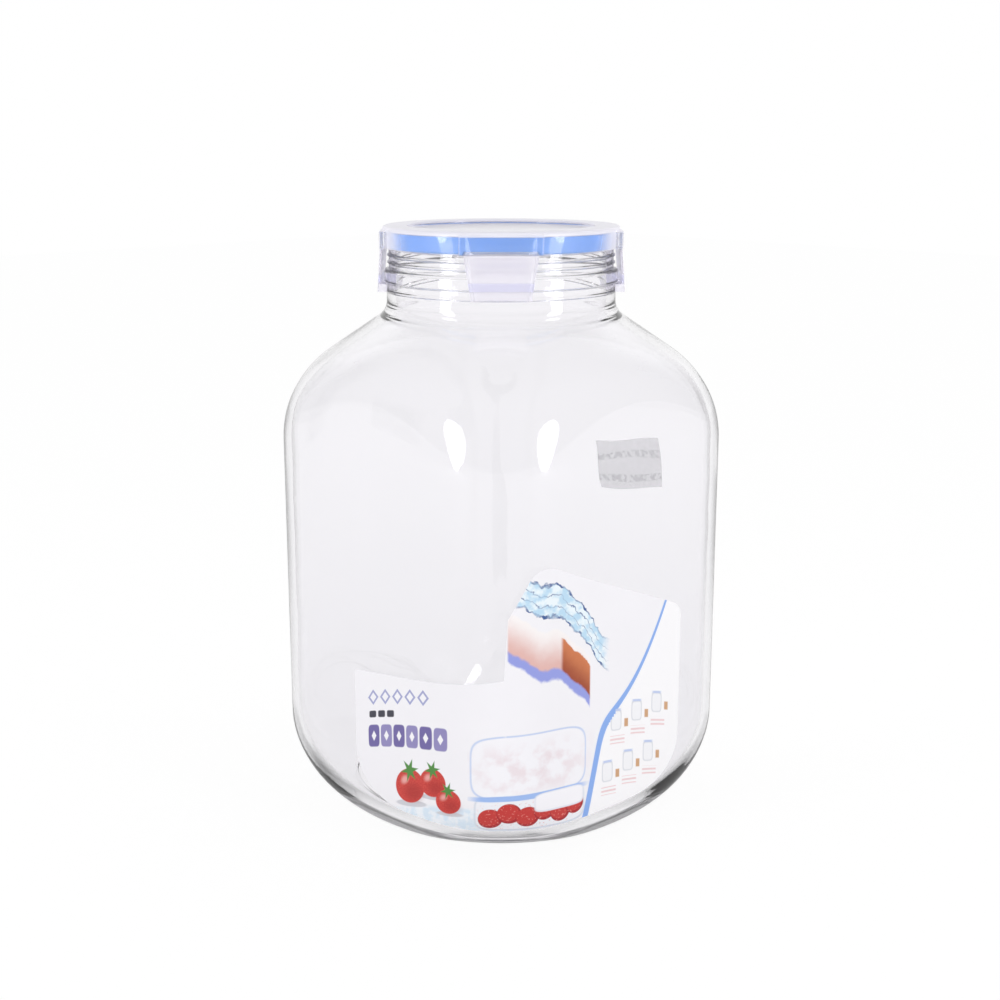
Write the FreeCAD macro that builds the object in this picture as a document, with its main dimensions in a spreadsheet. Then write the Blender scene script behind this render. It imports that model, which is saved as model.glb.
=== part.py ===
"""Airtight storage jar: a rounded-square glass jar with a clip-down plastic lid.

Millimetres, +Z up. The origin is the centre of the base on the surface the jar
stands on, and the four flat walls face +X, -X, +Y and -Y. The front corner, which
carries the label, points to +X -Y, and so does the front locking flap.
"""

import FreeCAD
import Part
import Sketcher
import math
import os

from FreeCAD import Placement, Rotation, Vector

# Driving sizes in millimetres, and degrees where the name says angle.
SIZES = {
    # glass body
    "across_flats": 156.0,
    "corner_cut": 16.1,
    "crease_blend": 13.0,
    "wall_thickness": 3.8,
    "floor_thickness": 6.0,
    "heel_radius": 36.5,
    "foot_angle": 10.0,
    "inner_heel_radius": 32.0,
    "wall_top": 159.5,
    "shoulder_radius": 46.5,
    "shoulder_angle": 56.0,
    "base_panel_radius": 50.0,
    "base_panel_depth": 1.5,
    "base_panel_draft": 3.0,
    # glass neck
    "neck_radius": 48.6,
    "neck_fillet": 8.2,
    "neck_length": 12.0,
    "collar_ledge": 1.0,
    "collar_height": 5.7,
    "collar_round": 0.7,
    "finish_step": 1.0,
    "finish_length": 11.1,
    "bead_ledge": 0.6,
    "bead_height": 1.2,
    "bead_pitch": 3.0,
    "bead_start": 2.0,
    "rim_round": 1.1,
    # lid
    "plug_clearance": 0.6,
    "plug_wall": 1.8,
    "plug_depth": 3.6,
    "seat_gap": 0.05,
    "gasket_lip": 1.4,
    "lip_clearance": 0.3,
    "lip_setback": 0.3,
    "gasket_thickness": 5.6,
    "skirt_depth": 2.3,
    "lid_wall": 1.2,
    "lid_top_wall": 1.0,
    "lid_round": 1.5,
    "recess_margin": 10.5,
    "recess_depth": 1.6,
    "lid_panel_thickness": 1.6,
    "pad_width": 33.4,
    "pad_rise": 0.15,
    # locking flaps
    "hinge_gap": 0.3,
    "flap_width": 30.0,
    "flap_foot_width": 24.0,
    "flap_thickness": 1.05,
    "flap_setback": 0.1,
    "flap_flare": 1.3,
    "hook_clearance": 0.3,
    "hook_reach_gap": 0.5,
    "hook_height": 3.2,
    # printed label and price sticker
    "label_gap": 0.15,
    "label_thickness": 0.2,
    "label_corner": 8.0,
    "label_foot_corner": 20.0,
    "label_left": 61.0,
    "label_right": 76.0,
    "label_foot": 15.5,
    "label_left_top": 70.5,
    "label_step": 1.0,
    "label_step_height": 81.5,
    "label_brow": 2.5,
    "label_brow_height": 106.0,
    "label_peak": 15.0,
    "label_peak_height": 128.0,
    "label_right_top": 94.0,
    "sticker_width": 37.0,
    "sticker_height": 22.0,
    "sticker_offset": 7.0,
    "sticker_middle": 137.0,
    "sticker_angle": 9.0,
}

# How finely the free-form wall is sampled: points round a section, and sections up each stretch.
AROUND_STEPS = 64
HEEL_STEPS = 10
SHOULDER_STEPS = 8
STRAIGHT_SHARES = (0.25, 0.5, 0.75, 1)

FRONT_ANGLE = -45.0
FLAP_ANGLES = {
    "flap_front": FRONT_ANGLE,
    "flap_right": FRONT_ANGLE + 90.0,
    "flap_back": FRONT_ANGLE + 180.0,
    "flap_left": FRONT_ANGLE + 270.0,
}

# Derived sizes, written once as expressions over the sheet's cells.
HALF_FLATS = "(sizes.across_flats / 2)"
CORNER_REACH = f"({HALF_FLATS} * sqrt(2) - sizes.corner_cut)"
SHOULDER_END_REACH = f"({CORNER_REACH} - sizes.shoulder_radius * (1 - cos(sizes.shoulder_angle)))"
SHOULDER_END = "(sizes.wall_top + sizes.shoulder_radius * sin(sizes.shoulder_angle))"
NECK_ROOT = f"({SHOULDER_END} + ({SHOULDER_END_REACH} - sizes.neck_radius) / tan(sizes.shoulder_angle))"
JOIN_REACH = f"(({SHOULDER_END_REACH} + sizes.neck_radius + sizes.neck_fillet) / 2)"
JOIN_HEIGHT = f"({SHOULDER_END} + ({SHOULDER_END_REACH} - {JOIN_REACH}) / tan(sizes.shoulder_angle))"
BORE_RADIUS = "(sizes.neck_radius - sizes.wall_thickness)"
BORE_ROOT = f"({NECK_ROOT} - sizes.wall_thickness * tan(sizes.shoulder_angle / 2))"
BORE_JOIN_REACH = f"({JOIN_REACH} - sizes.wall_thickness / sin(sizes.shoulder_angle))"
COLLAR_RADIUS = "(sizes.neck_radius + sizes.collar_ledge)"
COLLAR_BOTTOM = f"({NECK_ROOT} + sizes.neck_length)"
COLLAR_TOP = f"({COLLAR_BOTTOM} + sizes.collar_height)"
FINISH_RADIUS = "(sizes.neck_radius - sizes.finish_step)"
RIM_TOP = f"({COLLAR_TOP} + sizes.finish_length)"
PLUG_RADIUS = f"({BORE_RADIUS} - sizes.plug_clearance)"
PLUG_INNER = f"({PLUG_RADIUS} - sizes.plug_wall)"
GASKET_INNER = f"({PLUG_RADIUS} + sizes.seat_gap)"
GASKET_OUTER = f"({FINISH_RADIUS} + sizes.gasket_lip)"
GASKET_TOP = f"({RIM_TOP} + sizes.seat_gap + sizes.gasket_thickness)"
CHANNEL_OUTER = f"({GASKET_OUTER} + sizes.seat_gap)"
CHANNEL_TOP = f"({GASKET_TOP} + sizes.seat_gap)"
LID_RADIUS = f"({CHANNEL_OUTER} + sizes.lid_wall)"
LID_TOP = f"({CHANNEL_TOP} + sizes.lid_top_wall)"
LID_BOTTOM = f"({RIM_TOP} - sizes.skirt_depth)"
PLUG_BOTTOM = f"({RIM_TOP} - sizes.plug_depth)"
RECESS_RADIUS = f"({LID_RADIUS} - sizes.recess_margin)"
PANEL_TOP = f"({LID_TOP} - sizes.recess_depth)"
PANEL_BOTTOM = f"({PANEL_TOP} - sizes.lid_panel_thickness)"
PAD_PLANE = f"({LID_RADIUS} + sizes.pad_rise)"
FLAP_TOP = f"({LID_BOTTOM} - sizes.hinge_gap)"
FLAP_OUTER = f"({PAD_PLANE} - sizes.flap_setback)"
FLAP_FOOT_OUTER = f"({PAD_PLANE} + sizes.flap_flare)"
HOOK_TOP = f"({COLLAR_BOTTOM} - sizes.hook_clearance)"
HOOK_BOTTOM = f"({HOOK_TOP} - sizes.hook_height)"
HOOK_INNER = "(sizes.neck_radius + sizes.hook_reach_gap)"


def make_sheet(doc):
    """Write the driving sizes into a spreadsheet, one named cell each."""
    sheet = doc.addObject("Spreadsheet::Sheet", "sizes")
    for row, (name, value) in enumerate(SIZES.items(), start=1):
        sheet.set(f"A{row}", name)
        sheet.set(f"B{row}", str(value))
        sheet.setAlias(f"B{row}", name)
    doc.recompute()
    return sheet


def number(sheet, expression):
    """Return the value of an expression over the sheet's cells."""
    return float(sheet.evalExpression(expression))


def origin_plane(body, role):
    """Return one of a body's own origin planes."""
    return next(plane for plane in body.Origin.OriginFeatures if plane.Role == role)


def outline_sketch(body, name, role, corners):
    """Draw a closed outline whose corners are bound to expressions, and return the sketch."""
    sketch = body.newObject("Sketcher::SketchObject", name)
    sketch.AttachmentSupport = [(origin_plane(body, role), "")]
    sketch.MapMode = "FlatFace"
    sheet = body.Document.getObject("sizes")
    places = [Vector(number(sheet, across), number(sheet, up), 0) for across, up in corners]
    for start, end in zip(places, places[1:] + places[:1]):
        sketch.addGeometry(Part.LineSegment(start, end), False)
    for index in range(len(places)):
        following = (index + 1) % len(places)
        sketch.addConstraint(Sketcher.Constraint("Coincident", index, 2, following, 1))
    for index, (place, corner) in enumerate(zip(places, corners)):
        for kind, value, expression in zip(("DistanceX", "DistanceY"), place, corner):
            rule = sketch.addConstraint(Sketcher.Constraint(kind, -1, 1, index, 1, value))
            sketch.setExpression(f"Constraints[{rule}]", expression)
    return sketch


def revolve(body, kind, name, corners):
    """Turn an outline in the XZ plane about the body's Z axis."""
    sketch = outline_sketch(body, name + "Outline", "XZ_Plane", corners)
    turned = body.newObject("PartDesign::" + kind, name)
    turned.Profile = sketch
    turned.ReferenceAxis = (sketch, ["V_Axis"])
    turned.Angle = 360
    body.Document.recompute()
    return turned


def ring_edges(feature, rings):
    """Return the names of a feature's circular edges at the given radii and heights."""
    names = []
    for index, edge in enumerate(feature.Shape.Edges, start=1):
        if not isinstance(edge.Curve, Part.Circle):
            continue
        for radius, height in rings:
            at_height = abs(edge.Curve.Center.z - height) < 0.01
            if at_height and abs(edge.Curve.Radius - radius) < 0.01:
                names.append(f"Edge{index}")
    return names


def round_rings(body, base, name, radius, rings):
    """Fillet the circular edges of a turned feature."""
    sheet = body.Document.getObject("sizes")
    fillet = body.newObject("PartDesign::Fillet", name)
    places = [(number(sheet, reach), number(sheet, height)) for reach, height in rings]
    fillet.Base = (base, ring_edges(base, places))
    fillet.setExpression("Radius", radius)
    body.Document.recompute()
    return fillet


def round_corners(body, base, name, radius, corners):
    """Fillet the edges of a pad that run along Y through the given corners of its outline."""
    sheet = body.Document.getObject("sizes")
    names = []
    for across, up in corners:
        corner = Vector(number(sheet, across), 0, number(sheet, up))
        for index, edge in enumerate(base.Shape.Edges, start=1):
            ends = [Vector(vertex.X, 0, vertex.Z) for vertex in edge.Vertexes]
            if all(end.distanceToPoint(corner) < 0.01 for end in ends):
                names.append(f"Edge{index}")
    fillet = body.newObject("PartDesign::Fillet", name)
    fillet.Base = (base, names)
    fillet.setExpression("Radius", radius)
    body.Document.recompute()
    return fillet


def new_body(doc, label):
    """Add a PartDesign body with a label of its own."""
    body = doc.addObject("PartDesign::Body", label)
    body.Label = label
    return body


def smooth_min(first, second, blend):
    """Return the smaller value, rounded over where the two are within the blend."""
    overlap = max(blend - abs(first - second), 0) / blend
    return min(first, second) - overlap * overlap * blend / 4


def section_wire(reach, height, half_flats, blend):
    """Return one level section of the jar: a circle of the corner reach with four flats."""
    points = []
    for step in range(AROUND_STEPS):
        angle = 2 * math.pi * step / AROUND_STEPS
        from_flat = (angle + math.pi / 4) % (math.pi / 2) - math.pi / 4
        radius = smooth_min(reach, half_flats / math.cos(from_flat), blend)
        points.append(Vector(radius * math.cos(angle), radius * math.sin(angle), height))
    curve = Part.BSplineCurve()
    curve.interpolate(Points=points, PeriodicFlag=True, Parameters=list(range(AROUND_STEPS + 1)))
    return Part.Wire(curve.toShape())


def body_levels(sheet, inset, floor, heel):
    """List (corner reach, height) up the wall, from the floor to the join with the neck."""
    reach = number(sheet, CORNER_REACH) - inset
    foot = math.radians(number(sheet, "sizes.foot_angle"))
    top = number(sheet, "sizes.wall_top")
    shoulder = number(sheet, "sizes.shoulder_radius") - inset
    lean = math.radians(number(sheet, "sizes.shoulder_angle"))
    join_height = number(sheet, JOIN_HEIGHT)
    levels = []
    for step in range(HEEL_STEPS + 1):
        turn = foot + (math.pi / 2 - foot) * step / HEEL_STEPS
        rise = heel * (math.cos(foot) - math.cos(turn))
        levels.append((reach - heel * (1 - math.sin(turn)), floor + rise))
    heel_top = levels[-1][1]
    for share in STRAIGHT_SHARES:
        levels.append((reach, heel_top + share * (top - heel_top)))
    for step in range(1, SHOULDER_STEPS + 1):
        turn = lean * step / SHOULDER_STEPS
        levels.append((reach - shoulder * (1 - math.cos(turn)), top + shoulder * math.sin(turn)))
    last_reach, last_height = levels[-1]
    for share in STRAIGHT_SHARES:
        rise = share * (join_height - last_height)
        levels.append((last_reach - rise * math.tan(lean), last_height + rise))
    return levels


def wall_solid(sheet, inset, floor, heel):
    """Loft the jar's body at a given inset from its outer face."""
    half_flats = number(sheet, HALF_FLATS) - inset
    blend = number(sheet, "sizes.crease_blend")
    wires = []
    levels = body_levels(sheet, inset, floor, heel)
    for reach, height in levels[:-1]:
        wires.append(section_wire(reach, height, half_flats, blend))
    join_reach, join_height = levels[-1]
    rim = Part.Circle(Vector(0, 0, join_height), Vector(0, 0, 1), join_reach)
    wires.append(Part.Wire(rim.toShape()))
    return Part.makeLoft(wires, True, False)


def add_shape(doc, label, shape):
    """Add a free-form solid whose shape comes from the section law."""
    feature = doc.addObject("Part::Feature", label)
    feature.Label = label
    feature.Shape = shape
    feature.Placement = Placement()
    return feature


def combine(doc, kind, label, base, tool):
    """Join, cut or intersect two objects and keep the faces as they come."""
    result = doc.addObject(kind, label)
    result.Label = label
    result.Base = base
    result.Tool = tool
    result.Refine = False
    doc.recompute()
    return result


def make_neck(doc):
    """Turn the solid neck with its collar and two beads."""
    body = new_body(doc, "neck_blank")
    bead_radius = f"({FINISH_RADIUS} + sizes.bead_ledge)"
    corners = [
        ("0", JOIN_HEIGHT),
        (JOIN_REACH, JOIN_HEIGHT),
        ("sizes.neck_radius", NECK_ROOT),
        ("sizes.neck_radius", COLLAR_BOTTOM),
        (COLLAR_RADIUS, COLLAR_BOTTOM),
        (COLLAR_RADIUS, COLLAR_TOP),
        (FINISH_RADIUS, COLLAR_TOP),
    ]
    for bead in range(2):
        foot = f"({COLLAR_TOP} + sizes.bead_start + {bead} * sizes.bead_pitch)"
        head = f"({foot} + sizes.bead_height)"
        corners += [(FINISH_RADIUS, foot), (bead_radius, foot), (bead_radius, head), (FINISH_RADIUS, head)]
    corners += [(FINISH_RADIUS, RIM_TOP), ("0", RIM_TOP)]
    turned = revolve(body, "Revolution", "NeckTurned", corners)
    rooted = round_rings(body, turned, "NeckRoot", "sizes.neck_fillet", [("sizes.neck_radius", NECK_ROOT)])
    collar = [(COLLAR_RADIUS, COLLAR_BOTTOM), (COLLAR_RADIUS, COLLAR_TOP)]
    eased = round_rings(body, rooted, "CollarEdges", "sizes.collar_round", collar)
    round_rings(body, eased, "RimEdge", "sizes.rim_round", [(FINISH_RADIUS, RIM_TOP)])
    return body


def make_bore(doc):
    """Turn the hollow of the neck, from the join up through the mouth."""
    body = new_body(doc, "neck_bore")
    mouth = f"({RIM_TOP} + sizes.finish_length)"
    corners = [
        ("0", JOIN_HEIGHT),
        (BORE_JOIN_REACH, JOIN_HEIGHT),
        (BORE_RADIUS, BORE_ROOT),
        (BORE_RADIUS, mouth),
        ("0", mouth),
    ]
    turned = revolve(body, "Revolution", "BoreTurned", corners)
    fillet = "sizes.neck_fillet + sizes.wall_thickness"
    round_rings(body, turned, "BoreRoot", fillet, [(BORE_RADIUS, BORE_ROOT)])
    return body


def make_glass(doc, sheet):
    """Hollow the body and the neck, which meet face to face, and sink the panel under the base."""
    wall = number(sheet, "sizes.wall_thickness")
    floor = number(sheet, "sizes.floor_thickness")
    outside = add_shape(doc, "body_blank", wall_solid(sheet, 0, 0, number(sheet, "sizes.heel_radius")))
    inner_heel = number(sheet, "sizes.inner_heel_radius")
    inside = add_shape(doc, "body_hollow", wall_solid(sheet, wall, floor, inner_heel))
    hollow = combine(doc, "Part::Fuse", "glass_hollow", inside, make_bore(doc))
    panel = doc.addObject("Part::Cone", "base_panel")
    panel.setExpression("Radius1", "sizes.base_panel_radius")
    panel.setExpression("Radius2", "sizes.base_panel_radius - sizes.base_panel_draft")
    panel.setExpression("Height", "sizes.base_panel_depth")
    opened = combine(doc, "Part::Cut", "body_opened", outside, hollow)
    jar = combine(doc, "Part::Cut", "glass_jar", opened, panel)
    neck = combine(doc, "Part::Cut", "glass_neck", make_neck(doc), hollow)
    return [jar, neck]


def make_gasket(doc):
    """Turn the sealing ring, which lies on the rim and hangs outside it."""
    body = new_body(doc, "gasket")
    seat = f"({RIM_TOP} + sizes.seat_gap)"
    lip_inner = f"({FINISH_RADIUS} + sizes.lip_clearance)"
    lip_bottom = f"({LID_BOTTOM} + sizes.lip_setback)"
    corners = [
        (GASKET_INNER, seat),
        (lip_inner, seat),
        (lip_inner, lip_bottom),
        (GASKET_OUTER, lip_bottom),
        (GASKET_OUTER, GASKET_TOP),
        (GASKET_INNER, GASKET_TOP),
    ]
    revolve(body, "Revolution", "GasketTurned", corners)
    return body


def make_lid(doc):
    """Turn the lid, add a flat hinge pad at each corner, then cut its channel and recess."""
    body = new_body(doc, "lid")
    disc = [("0", LID_BOTTOM), (LID_RADIUS, LID_BOTTOM), (LID_RADIUS, LID_TOP), ("0", LID_TOP)]
    turned = revolve(body, "Revolution", "LidDisc", disc)
    rounded = round_rings(body, turned, "LidEdge", "sizes.lid_round", [(LID_RADIUS, LID_TOP)])
    reach = [(RECESS_RADIUS, "-sizes.pad_width / 2"), (PAD_PLANE, "-sizes.pad_width / 2")]
    corners = reach + [(PAD_PLANE, "sizes.pad_width / 2"), (RECESS_RADIUS, "sizes.pad_width / 2")]
    sketch = outline_sketch(body, "PadOutline", "XY_Plane", corners)
    sketch.setExpression("AttachmentOffset.Base.z", LID_BOTTOM)
    sketch.setExpression("AttachmentOffset.Rotation.Angle", str(FRONT_ANGLE))
    pad = body.newObject("PartDesign::Pad", "HingePad")
    pad.Profile = sketch
    pad.setExpression("Length", f"{LID_TOP} - {LID_BOTTOM} - sizes.lid_round")
    doc.recompute()
    pads = body.newObject("PartDesign::PolarPattern", "HingePads")
    pads.Originals = [pad]
    pads.Axis = (sketch, ["N_Axis"])
    pads.Angle = 360
    pads.Occurrences = len(FLAP_ANGLES)
    body.Tip = pads
    doc.recompute()
    channel = [(PLUG_RADIUS, PLUG_BOTTOM), (CHANNEL_OUTER, PLUG_BOTTOM)]
    channel += [(CHANNEL_OUTER, CHANNEL_TOP), (PLUG_RADIUS, CHANNEL_TOP)]
    revolve(body, "Groove", "GasketChannel", channel)
    recess = [("0", PANEL_TOP), (RECESS_RADIUS, PANEL_TOP), (RECESS_RADIUS, LID_TOP), ("0", LID_TOP)]
    revolve(body, "Groove", "TopRecess", recess)
    hollow = [("0", LID_BOTTOM), (PLUG_INNER, LID_BOTTOM), (PLUG_INNER, PANEL_BOTTOM), ("0", PANEL_BOTTOM)]
    revolve(body, "Groove", "UnderRecess", hollow)
    plug = [(PLUG_INNER, PLUG_BOTTOM), (PLUG_RADIUS, PLUG_BOTTOM)]
    plug += [(PLUG_RADIUS, CHANNEL_TOP), (PLUG_INNER, CHANNEL_TOP)]
    revolve(body, "Revolution", "Plug", plug)
    return body


def make_flap(doc, label, angle):
    """Make one locking flap: a flared plate with a hook that grips under the collar."""
    body = new_body(doc, label)
    slope = f"(({FLAP_FOOT_OUTER} - {FLAP_OUTER}) * ({FLAP_TOP} - {HOOK_TOP}) / ({FLAP_TOP} - {HOOK_BOTTOM}))"
    side = [
        (FLAP_OUTER, FLAP_TOP),
        (FLAP_FOOT_OUTER, HOOK_BOTTOM),
        (f"{HOOK_INNER} - sizes.collar_ledge", HOOK_BOTTOM),
        (f"{HOOK_INNER} - sizes.collar_ledge", HOOK_TOP),
        (f"{FLAP_OUTER} + {slope} - sizes.flap_thickness", HOOK_TOP),
        (f"{FLAP_OUTER} - sizes.flap_thickness", FLAP_TOP),
    ]
    pad = body.newObject("PartDesign::Pad", "Plate")
    pad.Profile = outline_sketch(body, "PlateSide", "XZ_Plane", side)
    pad.Midplane = True
    pad.setExpression("Length", "sizes.flap_width")
    doc.recompute()
    for sign in ("", "-"):
        taper = [
            (f"{sign}sizes.flap_width / 2", FLAP_TOP),
            (f"{sign}sizes.flap_width", FLAP_TOP),
            (f"{sign}sizes.flap_width", HOOK_BOTTOM),
            (f"{sign}sizes.flap_foot_width / 2", HOOK_BOTTOM),
        ]
        trim = body.newObject("PartDesign::Pocket", "Taper")
        trim.Profile = outline_sketch(body, "TaperOutline", "YZ_Plane", taper)
        trim.Midplane = True
        trim.setExpression("Length", f"4 * {PAD_PLANE}")
        doc.recompute()
    bite = [("0", HOOK_BOTTOM), (HOOK_INNER, HOOK_BOTTOM), (HOOK_INNER, HOOK_TOP), ("0", HOOK_TOP)]
    revolve(body, "Groove", "HookBite", bite)
    body.Placement = Placement(Vector(), Rotation(Vector(0, 0, 1), angle))
    return body


def make_label(doc, sheet):
    """Cut the printed label from a skin that follows the front corner of the body."""
    gap = number(sheet, "sizes.label_gap")
    thickness = number(sheet, "sizes.label_thickness")
    heel = number(sheet, "sizes.heel_radius")
    outer = add_shape(doc, "label_outside", wall_solid(sheet, -gap - thickness, 0, heel + gap + thickness))
    inner = add_shape(doc, "label_inside", wall_solid(sheet, -gap, 0, heel + gap))
    skin = combine(doc, "Part::Cut", "label_skin", outer, inner)
    body = new_body(doc, "label_outline")
    corners = [
        ("-sizes.label_left", "sizes.label_left_top"),
        ("-sizes.label_left", "sizes.label_foot"),
        ("sizes.label_right", "sizes.label_foot"),
        ("sizes.label_right", "sizes.label_right_top"),
        ("sizes.label_peak", "sizes.label_peak_height"),
        ("sizes.label_brow", "sizes.label_brow_height"),
        ("sizes.label_step", "sizes.label_step_height"),
    ]
    pad = body.newObject("PartDesign::Pad", "LabelReach")
    pad.Profile = outline_sketch(body, "LabelOutline", "XZ_Plane", corners)
    pad.setExpression("Length", "sizes.across_flats")
    doc.recompute()
    feet = round_corners(body, pad, "LabelFeet", "sizes.label_foot_corner", corners[1:3])
    round_corners(body, feet, "LabelCorners", "sizes.label_corner", [corners[0], corners[3], corners[4]])
    body.Placement = Placement(Vector(), Rotation(Vector(0, 0, 1), FRONT_ANGLE + 90))
    return combine(doc, "Part::Common", "front_label", skin, body)


def make_sticker(doc):
    """Lay the price sticker flat on the back wall, turned a little."""
    sticker = doc.addObject("Part::Box", "price_sticker")
    sticker.Label = "price_sticker"
    sticker.setExpression("Length", "sizes.sticker_width")
    sticker.setExpression("Width", "sizes.label_thickness")
    sticker.setExpression("Height", "sizes.sticker_height")
    sticker.setExpression("Placement.Rotation.Angle", "-sizes.sticker_angle")
    sticker.Placement.Rotation.Axis = Vector(0, 1, 0)
    half_width = "sizes.sticker_width / 2"
    half_height = "sizes.sticker_height / 2"
    lean = "sizes.sticker_angle"
    across = f"sizes.sticker_offset - {half_width} * cos({lean}) + {half_height} * sin({lean})"
    up = f"sizes.sticker_middle - {half_width} * sin({lean}) - {half_height} * cos({lean})"
    sticker.setExpression("Placement.Base.x", across)
    sticker.setExpression("Placement.Base.y", f"{HALF_FLATS} + sizes.label_gap")
    sticker.setExpression("Placement.Base.z", up)
    return sticker


def check_and_write(doc, pieces):
    """Refuse a failed feature or an invalid solid, then write one STEP file per piece."""
    doc.recompute()
    for item in doc.Objects:
        if "Invalid" in item.State or "Error" in item.State:
            raise RuntimeError(f"{item.Name} failed: {item.State}")
    for piece in pieces:
        shape = piece.Shape
        if shape.isNull() or not shape.isValid() or len(shape.Solids) != 1:
            raise RuntimeError(f"{piece.Label} has no single valid solid")
    os.makedirs("parts", exist_ok=True)
    for piece in pieces:
        piece.Shape.exportStep(os.path.join("parts", piece.Label + ".step"))
        print(piece.Label, round(piece.Shape.Volume / 1000, 2), "cm3")


def main():
    """Build every piece of the jar and write it."""
    doc = FreeCAD.newDocument("storage_jar")
    sheet = make_sheet(doc)
    pieces = make_glass(doc, sheet) + [make_gasket(doc), make_lid(doc)]
    for label, angle in FLAP_ANGLES.items():
        pieces.append(make_flap(doc, label, angle))
    pieces.append(make_label(doc, sheet))
    pieces.append(make_sticker(doc))
    check_and_write(doc, pieces)


main()
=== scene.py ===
"""Looks of the airtight storage jar: clear glass, a frosted lid with its blue seal, and print."""

import logging
import math
from dataclasses import dataclass, field
from enum import Enum
from typing import Mapping, Sequence, Union

import bmesh
import bpy
import numpy as np
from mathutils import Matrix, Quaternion, Vector


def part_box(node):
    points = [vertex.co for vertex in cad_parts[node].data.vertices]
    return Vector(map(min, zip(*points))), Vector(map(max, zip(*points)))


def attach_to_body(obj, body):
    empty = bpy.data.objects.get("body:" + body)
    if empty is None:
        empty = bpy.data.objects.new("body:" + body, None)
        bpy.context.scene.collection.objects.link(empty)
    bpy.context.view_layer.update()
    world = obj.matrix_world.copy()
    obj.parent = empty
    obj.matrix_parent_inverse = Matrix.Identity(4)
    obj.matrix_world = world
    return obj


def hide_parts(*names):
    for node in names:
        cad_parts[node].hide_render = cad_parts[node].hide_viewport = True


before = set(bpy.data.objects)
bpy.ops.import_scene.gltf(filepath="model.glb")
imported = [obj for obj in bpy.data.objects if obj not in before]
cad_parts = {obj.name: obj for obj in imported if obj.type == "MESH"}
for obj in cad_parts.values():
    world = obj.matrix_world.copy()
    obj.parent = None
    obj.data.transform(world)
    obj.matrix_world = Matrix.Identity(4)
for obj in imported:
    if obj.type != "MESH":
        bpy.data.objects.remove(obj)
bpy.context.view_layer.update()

LOG = logging.getLogger("storage_jar")
MM = 0.001
FRONT = math.radians(-45.0)
Colour = tuple[float, float, float]
Point = tuple[float, float]
Value = Union["Signal", float, int]


class Corner(Enum):
    """The four corners of the body that carry a locking flap, by their azimuth in degrees."""

    FRONT = -45.0
    RIGHT = 45.0
    BACK = 135.0
    LEFT = 225.0

    @property
    def node(self) -> str:
        """Name of this corner's flap in the frame."""
        return "flap_" + self.name.lower()

    @property
    def azimuth(self) -> float:
        """Direction of the corner about +Z, in radians."""
        return math.radians(self.value)


class RayKind(Enum):
    """The ray tests of a Light Path node that the studio and the clear pieces use."""

    CAMERA = "Is Camera Ray"
    GLOSSY = "Is Glossy Ray"
    TRANSMISSION = "Is Transmission Ray"
    SHADOW = "Is Shadow Ray"


# ---------------------------------------------------------------- shader building


class Signal:
    """A shader socket whose arithmetic adds Math nodes."""

    def __init__(self, graph: "Graph", socket: bpy.types.NodeSocket | None) -> None:
        """Wrap a socket.

        Args:
            graph: The graph that owns the socket.
            socket: An output socket of one of its nodes, or None for an end node.
        """
        self.graph = graph
        self.socket = socket

    def _math(self, operation: str, *values: Value) -> "Signal":
        """Add one Math node on the given values."""
        return self.graph.node("ShaderNodeMath", {"operation": operation}, dict(enumerate(values)))

    def __add__(self, other: Value) -> "Signal":
        """Sum."""
        return self._math("ADD", self, other)

    def __radd__(self, other: Value) -> "Signal":
        """Reflected sum."""
        return self._math("ADD", other, self)

    def __sub__(self, other: Value) -> "Signal":
        """Difference."""
        return self._math("SUBTRACT", self, other)

    def __rsub__(self, other: Value) -> "Signal":
        """Reflected difference."""
        return self._math("SUBTRACT", other, self)

    def __mul__(self, other: Value) -> "Signal":
        """Product."""
        return self._math("MULTIPLY", self, other)

    def __pow__(self, other: Value) -> "Signal":
        """Power."""
        return self._math("POWER", self, other)

    def greater(self, other: Value) -> "Signal":
        """The larger of two values."""
        return self._math("MAXIMUM", self, other)

    def sine(self) -> "Signal":
        """Sine of a value in radians."""
        return self._math("SINE", self)

    def ramp(self, low: float, high: float) -> "Signal":
        """A clamped rise from 0 at low to 1 at high, smoothed at both ends."""
        inputs = {"Value": self, "From Min": low, "From Max": high}
        return self.graph.node("ShaderNodeMapRange", {"interpolation_type": "SMOOTHSTEP"}, inputs)

    def between(self, low: float, high: float, soft: float) -> "Signal":
        """1 between two limits and 0 beyond them, with soft ends."""
        return self.ramp(low - soft, low + soft) * (1 - self.ramp(high - soft, high + soft))


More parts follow.
